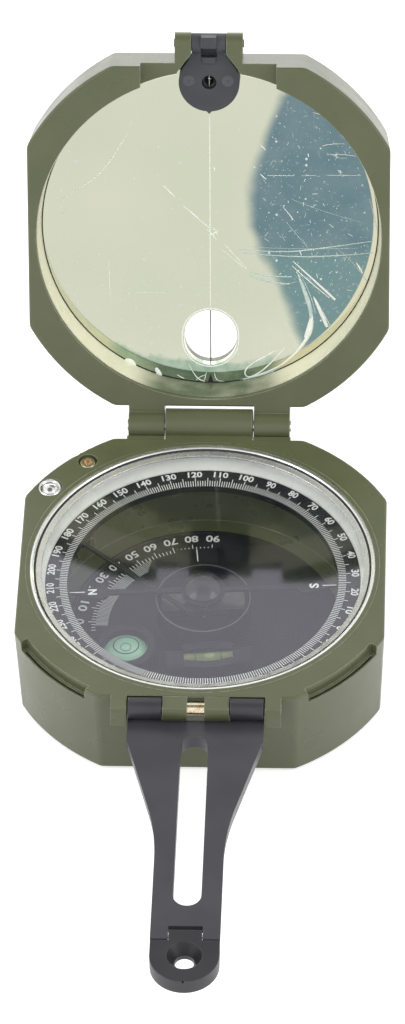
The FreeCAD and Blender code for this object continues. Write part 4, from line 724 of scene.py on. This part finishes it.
def tube_level_marks():
    """Lines round the tube vial, the brows that make its window a lens, and its bubble."""
    marks = bmesh.new()
    for across in (-2.55, 2.55):
        rod(marks, (across, TUBE_ALONG, TUBE_HEIGHT), ALONG_X, radius=1.93, length=0.22,
            segments=32)
    finish_piece("tube_level_lines", marks, "clinometer", BLACK_INK, CLINOMETER_PLACE)
    brow_radius, window_half, half_sweep = 16.0, 1.8, 17
    window = bmesh.new()
    for side in (-1, 1):
        brow = bmesh.new()
        spun_ring(brow, brow_radius, brow_radius + window_half, 9.02, 9.12,
                  start=90 * side - half_sweep, sweep=2 * half_sweep, steps=24)
        away = TUBE_ALONG - side * (brow_radius - window_half)
        brow.transform(Matrix.Translation((0, away, 0)))
        carrier = bpy.data.meshes.new("brow")
        brow.to_mesh(carrier)
        brow.free()
        take_mesh(window, carrier)
    finish_piece("tube_window_brows", window, "clinometer", DIAL, CLINOMETER_PLACE)
    bubble = bmesh.new()
    bmesh.ops.create_uvsphere(bubble, u_segments=24, v_segments=12, radius=1.0)
    drawn_out = Matrix.Translation((0.2, TUBE_ALONG, 8.35)) @ Matrix.Diagonal((2.1, 0.95, 0.62, 1))
    bmesh.ops.transform(bubble, verts=bubble.verts, matrix=drawn_out)
    finish_piece("tube_level_bubble", bubble, "clinometer", BUBBLE, CLINOMETER_PLACE,
                 smooth=True)


# ---------------------------------------------------------------- mirror

def sighting_line():
    """The line down the middle of the mirror, the wire across its window and the notch below it."""
    line = bmesh.new()
    block(line, (0, -3.3, FILM_LEVEL), (0.17, 43.0, 0.05))
    finish_piece("mirror_line", line, "lid", LINE_PAINT, OPEN_LID)
    wire = bmesh.new()
    rod(wire, (0, WINDOW_ALONG, MIRROR_FACE + 0.9), ALONG_Y, radius=0.11, length=12.8, segments=12)
    finish_piece("window_wire", wire, "lid", BLACK_INK, OPEN_LID, smooth=True)
    notch = bmesh.new()
    back = MIRROR_FACE - 0.06
    wedge = ((0, 32.2, back), (0.6, 34.0, back), (-0.6, 34.0, back))
    corners = [notch.verts.new(spot) for spot in wedge]
    pushed = bmesh.ops.extrude_face_region(notch, geom=[notch.faces.new(corners)])
    moved = [item for item in pushed["geom"] if isinstance(item, bmesh.types.BMVert)]
    bmesh.ops.translate(notch, vec=(0, 0, 0.05), verts=moved)
    bmesh.ops.recalc_face_normals(notch, faces=notch.faces)
    finish_piece("mirror_notch", notch, "lid", BLACK_INK, OPEN_LID)


def mirror_seams():
    """The dark joint at the mirror's edge and the film's bright cut edge round the window."""
    seam = bmesh.new()
    spun_ring(seam, 33.92, 34.22, MIRROR_FACE - 0.07, MIRROR_FACE - 0.02, steps=160)
    finish_piece("mirror_seam", seam, "lid", BLACK_INK, OPEN_LID)
    cut = bmesh.new()
    spun_ring(cut, 5.62, 5.86, MIRROR_FACE - 0.05, MIRROR_FACE - 0.01, steps=64)
    half_straight = 0.6
    for corner in cut.verts:
        corner.co.y += half_straight if corner.co.y > 0 else -half_straight
    finish_piece("window_film_edge", cut, "lid", FILM,
                 OPEN_LID @ Matrix.Translation((0, WINDOW_ALONG, 0)))


def streaks(name, material, paths):
    """Thin ridges of the mirror's clear film, each along a path of (x, y, half width)."""
    flattened = Matrix.Translation((0, 0, FILM_LEVEL)) @ Matrix.Diagonal((1, 1, 0.3, 1))
    work = bmesh.new()
    for path in paths:
        curve = bpy.data.curves.new(name, "CURVE")
        curve.dimensions = "3D"
        curve.bevel_depth = 1.0
        curve.bevel_resolution = 1
        curve.resolution_u = 4
        curve.use_fill_caps = True
        spline = curve.splines.new("NURBS")
        spline.points.add(len(path) - 1)
        for point, (across, along, half) in zip(spline.points, path):
            point.co = (across, along, 0, 1)
            point.radius = half
        spline.order_u = min(3, len(path))
        spline.use_endpoint_u = True
        mesh = curve_mesh(curve)
        mesh.transform(flattened)
        take_mesh(work, mesh)
    finish_piece(name, work, "lid", material, OPEN_LID, smooth=True)


def film_creases():
    """Folds, scratches and blobs of the film left on the mirror."""
    streaks("film_scratches", FILM, [
        [(-16.4, -20.2, 0.03), (-17.8, -17.6, 0.08), (-19.9, -14.0, 0.09), (-22.9, -10.3, 0.09),
         (-26.8, -7.5, 0.08), (-30.8, -5.0, 0.04)],
        [(-15.2, -22.9, 0.03), (-15.9, -21.9, 0.05), (-16.2, -21.2, 0.03)],
        [(-30.4, -2.1, 0.05), (-29.6, -2.6, 0.14), (-28.9, -3.1, 0.05)],
        [(-9.7, -8.9, 0.05), (-8.9, -8.1, 0.10), (-7.6, -6.8, 0.13), (-7.0, -6.1, 0.05)],
        [(-5.5, -4.4, 0.04), (-4.0, -3.2, 0.11), (-2.2, -1.4, 0.14), (0.3, 0.8, 0.05)],
        [(-0.6, 0.6, 0.04), (0.3, 1.6, 0.16), (1.2, 2.9, 0.05)],
        [(0.6, 0.3, 0.05), (1.0, 1.0, 0.15), (1.6, 1.9, 0.05)],
        [(0.2, 1.9, 0.05), (1.2, 1.4, 0.13), (1.7, 0.8, 0.04)],
        [(2.8, 3.7, 0.04), (4.6, 5.9, 0.11), (7.0, 8.6, 0.05)],
        [(2.4, 5.0, 0.04), (4.8, 7.1, 0.10), (7.4, 9.4, 0.05)],
        [(7.0, 8.6, 0.04), (7.5, 9.1, 0.08), (7.4, 9.4, 0.04)],
        [(16.8, 7.4, 0.08), (21.5, 11.9, 0.24), (25.4, 15.7, 0.26)],
        [(16.6, 8.4, 0.06), (20.3, 12.0, 0.14), (24.2, 15.3, 0.08)],
        [(-20.6, 7.7, 0.03), (-20.5, 11.6, 0.07), (-20.4, 15.9, 0.03)],
        [(-16.6, 14.7, 0.03), (-13.0, 14.5, 0.06), (-9.2, 14.4, 0.03)],
        [(-10.4, -17.2, 0.06), (-10.4, -17.0, 0.13), (-10.3, -16.8, 0.06)],
        [(0.8, -12.8, 0.08), (0.9, -12.4, 0.20), (1.0, -11.9, 0.06)],
        [(-15.4, -10.2, 0.04), (-15.3, -10.1, 0.09), (-15.2, -10.0, 0.04)],
        [(14.7, -4.3, 0.04), (15.8, -3.1, 0.09), (16.8, -1.6, 0.11)],
        [(22.6, -17.4, 0.05), (24.6, -18.1, 0.10), (27.2, -17.9, 0.05)],
        [(23.5, -15.5, 0.04), (26.4, -15.9, 0.10), (29.5, -15.3, 0.05)],
        [(20.7, -24.5, 0.04), (21.6, -24.4, 0.10), (22.5, -24.0, 0.05)],
        [(11.6, -11.0, 0.04), (14.0, -11.05, 0.07), (17.0, -11.0, 0.04)],
        [(18.5, -11.0, 0.03), (20.0, -11.1, 0.06), (21.5, -11.1, 0.03)],
        [(23.5, -11.2, 0.04), (26.0, -11.2, 0.08), (30.5, -11.2, 0.04)],
        [(10.2, -17.5, 0.05), (10.8, -17.1, 0.18), (11.2, -16.4, 0.05)],
        [(10.2, -11.3, 0.05), (10.7, -10.7, 0.18), (11.4, -10.2, 0.05)],
        [(21.0, 15.1, 0.10), (22.1, 17.4, 0.60), (23.8, 21.6, 0.34)],
        [(21.6, 16.0, 0.04), (23.2, 18.9, 0.10), (24.4, 21.4, 0.04)],
        [(20.6, 18.2, 0.14), (20.8, 21.6, 0.62), (19.3, 25.1, 0.34), (16.2, 28.8, 0.20),
         (12.6, 31.4, 0.16), (8.0, 32.9, 0.08)],
        [(13.4, 26.8, 0.08), (11.5, 28.1, 0.20), (8.3, 29.9, 0.16), (6.8, 31.6, 0.15),
         (7.4, 33.0, 0.10), (9.2, 32.4, 0.14), (11.9, 30.3, 0.16), (15.5, 26.0, 0.08)],
        [(-4.6, 29.9, 0.04), (-3.6, 32.0, 0.09), (-2.4, 33.6, 0.14), (-1.2, 33.9, 0.08)],
        [(-2.9, 33.5, 0.05), (-1.9, 32.6, 0.12), (-0.9, 32.4, 0.05)],
        [(-0.9, 31.9, 0.05), (-1.0, 33.0, 0.11), (-1.5, 34.0, 0.06)],
        [(0.8, 32.0, 0.05), (0.9, 33.2, 0.10), (1.9, 34.0, 0.08), (4.8, 33.8, 0.05)],
        [(-6.9, 32.5, 0.06), (-6.2, 32.9, 0.16), (-5.4, 33.3, 0.05)],
    ])
    streaks("film_blobs", FILM, [
        [(-17.5, 29.2, 0.15), (-16.6, 29.5, 0.75), (-15.6, 30.4, 0.50), (-15.1, 31.0, 0.1)],
        [(-11.2, 31.0, 0.25), (-10.9, 31.8, 0.70), (-10.2, 33.0, 0.45)],
        [(29.7, 7.7, 0.10), (30.4, 8.7, 0.34), (30.9, 9.9, 0.10)],
        [(20.5, 19.2, 0.15), (20.2, 21.6, 0.55), (19.2, 24.0, 0.15)],
    ])
    streaks("film_wrinkles", FAINT_FILM, [
        [(5.9, 5.0, 0.05), (14.3, 5.6, 0.14), (21.2, 4.8, 0.16), (33.0, 2.9, 0.09)],
        [(6.3, 5.7, 0.05), (16.1, 6.6, 0.14), (27.3, 6.1, 0.14), (33.0, 5.4, 0.07)],
        [(8.0, 4.4, 0.03), (18.0, 5.0, 0.06), (30.0, 4.4, 0.04)],
        [(8.0, 9.9, 0.06), (11.5, 10.9, 0.24), (16.6, 10.8, 0.10)],
        [(7.7, 10.5, 0.06), (11.0, 12.0, 0.28), (16.1, 12.4, 0.10)],
        [(12.9, 12.6, 0.04), (15.2, 12.6, 0.09), (17.6, 11.8, 0.05)],
        [(17.6, 9.6, 0.08), (19.3, 14.2, 0.55), (20.8, 19.1, 0.42), (20.3, 22.0, 0.15)],
        [(18.3, 10.2, 0.04), (20.6, 14.6, 0.10), (21.4, 18.6, 0.06)],
        [(15.4, -1.1, 0.03), (17.6, 1.8, 0.07), (19.9, 4.6, 0.04)],
        [(16.5, -6.0, 0.03), (22.0, -3.5, 0.05), (31.0, -1.0, 0.03)],
        [(25.0, 4.0, 0.03), (29.0, 7.0, 0.08), (32.0, 12.0, 0.04)],
        [(32.2, -6.2, 0.05), (33.3, -2.4, 0.10), (33.9, 1.2, 0.05)],
        [(24.2, -15.9, 0.04), (25.8, -14.6, 0.12), (27.6, -14.9, 0.05)],
        [(26.0, -20.0, 0.03), (27.5, -19.0, 0.08), (28.6, -17.2, 0.04)],
        [(14.2, 30.9, 0.10), (10.2, 32.6, 0.30), (5.6, 33.6, 0.12)],
        [(-14.4, 31.6, 0.06), (-9.6, 33.3, 0.20), (-4.4, 34.0, 0.10)],
    ])


def film_dust():
    """Specks and hairs under the film over the side of the mirror with the painted dark reflection.
    """
    rim, clear_of_edge = 32.5, 1.6
    spread = random.Random(11)
    for name, count, material in (("film_specks", 90, FILM), ("film_hairs", 190, FAINT_FILM)):
        work = bmesh.new()
        while len(work.verts) < 8 * count:
            across, along = spread.uniform(8, 32), spread.uniform(-29, 14)
            leaning = REFLECTION_TIPWARD * min(along, 0) ** 2 + REFLECTION_HINGEWARD * max(along, 0)
            on_dark_reflection = across >= REFLECTION_EDGE + clear_of_edge + leaning
            if math.hypot(across, along) > rim or not on_dark_reflection:
                continue
            long = 0.14 + 1.1 * spread.random() ** 4
            wide = 0.07 + 0.11 * spread.random() ** 2
            block(work, (across, along, FILM_LEVEL), (long, wide, 0.04),
                  turn=spread.uniform(0, math.pi))
        finish_piece(name, work, "lid", material, OPEN_LID)


# ---------------------------------------------------------------- sight and hinge

def front_sight_marks():
    """Ejector marks and a small diamond on the sight leaf, and the sleeve that narrows its hole."""
    low = SIGHT_FACE - PRINT
    for name, across in (("sight_mark_left", -4.05), ("sight_mark_right", 3.75)):
        mark = bmesh.new()
        spun_ring(mark, 0.15, 1.25, low, SIGHT_FACE, steps=36)
        finish_piece(name, mark, "front_sight", SIGHT_MARK,
                     OPEN_LID @ Matrix.Translation((across, -31.85, 0)))
    diamond = bmesh.new()
    spun_ring(diamond, 0.50, 0.64, low, SIGHT_FACE, steps=4)
    narrowed = Matrix.Translation((-0.1, -29.4, 0)) @ Matrix.Diagonal((0.7, 1, 1, 1))
    finish_piece("sight_diamond", diamond, "front_sight", SIGHT_MARK,
                 OPEN_LID @ narrowed)
    sleeve = bmesh.new()
    funnel = ((0.35, 28.3), (0.9, 27.6), (1.32, 27.3), (1.32, 28.45), (0.35, 28.45))
    spun_section(sleeve, funnel, steps=40)
    finish_piece("sight_hole_sleeve", sleeve, "front_sight", LEVER_BLACK,
                 OPEN_LID @ Matrix.Translation((0, SIGHT_HOLE_ALONG, 0)))


def rear_hinge_parts():
    """The cast sleeve round the case's hinge barrel and the ledges below the lid's barrels."""
    sleeve = bmesh.new()
    rod(sleeve, (0, 40.62, 21.14), ALONG_X, radius=3.18, length=17.8, segments=64)
    rims = [edge for edge in sleeve.edges if any(len(face.verts) > 4 for face in edge.link_faces)]
    soften(sleeve, rims, 0.25)
    finish_piece("rear_barrel_sleeve", sleeve, "base", OLIVE)
    for name, across in (("rear_ledge_left", -12.85), ("rear_ledge_right", 12.85)):
        ledge = bmesh.new()
        block(ledge, (across, 36.9, 17.9), (7.6, 1.2, 5.8))
        outer = [edge for edge in ledge.edges if all(corner.co.y > 37 for corner in edge.verts)]
        soften(ledge, outer, 0.2)
        finish_piece(name, ledge, "base", OLIVE)


dial_surround()
azimuth_scale()
clinometer_scale()
index_line()
index_arm()
slim_lever()
cup_rim()
needle_marks()
round_level_marks()
tube_level_marks()
sighting_line()
mirror_seams()
film_creases()
film_dust()
front_sight_marks()
rear_hinge_parts()


# ---------------------------------------------------------------- studio

def studio_floor():
    """Pale floor that keeps the object's shadow and reads white."""
    half_side, below, glow_strength = 1.2, 0.0006, 0.60
    finish = Finish("studio_floor")
    soft = finish.node("BsdfDiffuse", Color=(0.86, 0.86, 0.86))
    glow = finish.node("Emission", Color=(1.0, 1.0, 1.0),
                       Strength=finish.times(finish.looked_at(), glow_strength))
    finish.surface(finish.feed_all(finish.node("AddShader"), soft.outputs[0], glow.outputs[0]))
    work = bmesh.new()
    bmesh.ops.create_grid(work, x_segments=1, y_segments=1, size=half_side)
    mesh = bpy.data.meshes.new("studio_floor")
    work.to_mesh(mesh)
    work.free()
    floor = bpy.data.objects.new("studio_floor", mesh)
    floor.location.z = -below
    SCENE.collection.objects.link(floor)
    mesh.materials.append(finish.owner)


def studio_world():
    """Soft even light; what looks at it sees white, darker straight above where the ceiling is."""
    light_strength, ceiling_strength, ceiling_from, ceiling_full = 0.68, 0.19, 0.80, 0.97
    world = Finish("studio", bpy.data.worlds, "OutputWorld")
    direction = world.node("TexCoord").outputs["Generated"]
    height = world.node("SeparateXYZ", Vector=direction).outputs["Z"]
    white = (1.0, 1.0, 1.0)
    even = world.node("Background", Color=white, Strength=light_strength)
    seen = world.node("Background", Color=white, Strength=world.range(
        height, ceiling_from, ceiling_full, 1.0, ceiling_strength, smooth=True))
    world.surface(world.mix_shaders(world.looked_at(), even, seen))
    SCENE.world = world.owner


def softbox(name, place, aim, size, power, reflected=False):
    """Area lamp hidden from the camera, and from gloss unless it is to be reflected."""
    lamp = bpy.data.lights.new(name, "AREA")
    lamp.shape = "RECTANGLE"
    lamp.size, lamp.size_y = size
    lamp.energy = power
    carrier = bpy.data.objects.new(name, lamp)
    carrier.location = place
    carrier.rotation_euler = (Vector(aim) - Vector(place)).to_track_quat("-Z", "Y").to_euler()
    carrier.visible_glossy = reflected
    carrier.visible_camera = False
    SCENE.collection.objects.link(carrier)


def camera():
    """Long lens, about 1.2 m away, looking down at 44 degrees from slightly right of the middle."""
    eye = Vector((0.044705, -0.848713, 0.867184))
    pitch, yaw, roll = 0.7744, -0.0523, -0.025
    focal_pixels, long_side_pixels, sensor_width = 6023.55, 1024, 36
    forward = Vector((math.sin(yaw) * math.cos(pitch), math.cos(yaw) * math.cos(pitch),
                      -math.sin(pitch)))
    right = Vector((math.cos(yaw), -math.sin(yaw), 0))
    up = right.cross(forward)
    across = math.cos(roll) * right + math.sin(roll) * up
    above = -math.sin(roll) * right + math.cos(roll) * up
    turned = Matrix((across, above, -forward)).transposed().to_4x4()
    lens = bpy.data.cameras.new("camera")
    lens.sensor_width = sensor_width
    lens.sensor_fit = "AUTO"
    lens.lens = focal_pixels * sensor_width / long_side_pixels
    lens.clip_start, lens.clip_end = 0.05, 50
    carrier = bpy.data.objects.new("camera", lens)
    carrier.matrix_world = Matrix.Translation(eye) @ turned
    SCENE.collection.objects.link(carrier)
    SCENE.camera = carrier


studio_floor()
studio_world()
softbox("left_softbox", (-0.9, -0.45, 0.75), (0, 0, 0.03), (0.7, 0.7), 3.8, reflected=True)
softbox("right_softbox", (0.95, -0.40, 0.7), (0, 0, 0.03), (0.7, 0.7), 3.8, reflected=True)
softbox("top_softbox", (0.0, -0.1, 1.3), (0, 0, 0.03), (1.0, 1.0), 3.8)
softbox("high_softbox", (-0.07, 1.36, 1.40), (0, -0.01, 0.02), (0.8, 0.8), 0.5, reflected=True)
softbox("rear_softbox", (0.0, 2.2, 0.35), (0, 0, 0.05), (2.6, 0.8), 17.0, reflected=True)
camera()
SCENE.view_settings.view_transform = "Standard"
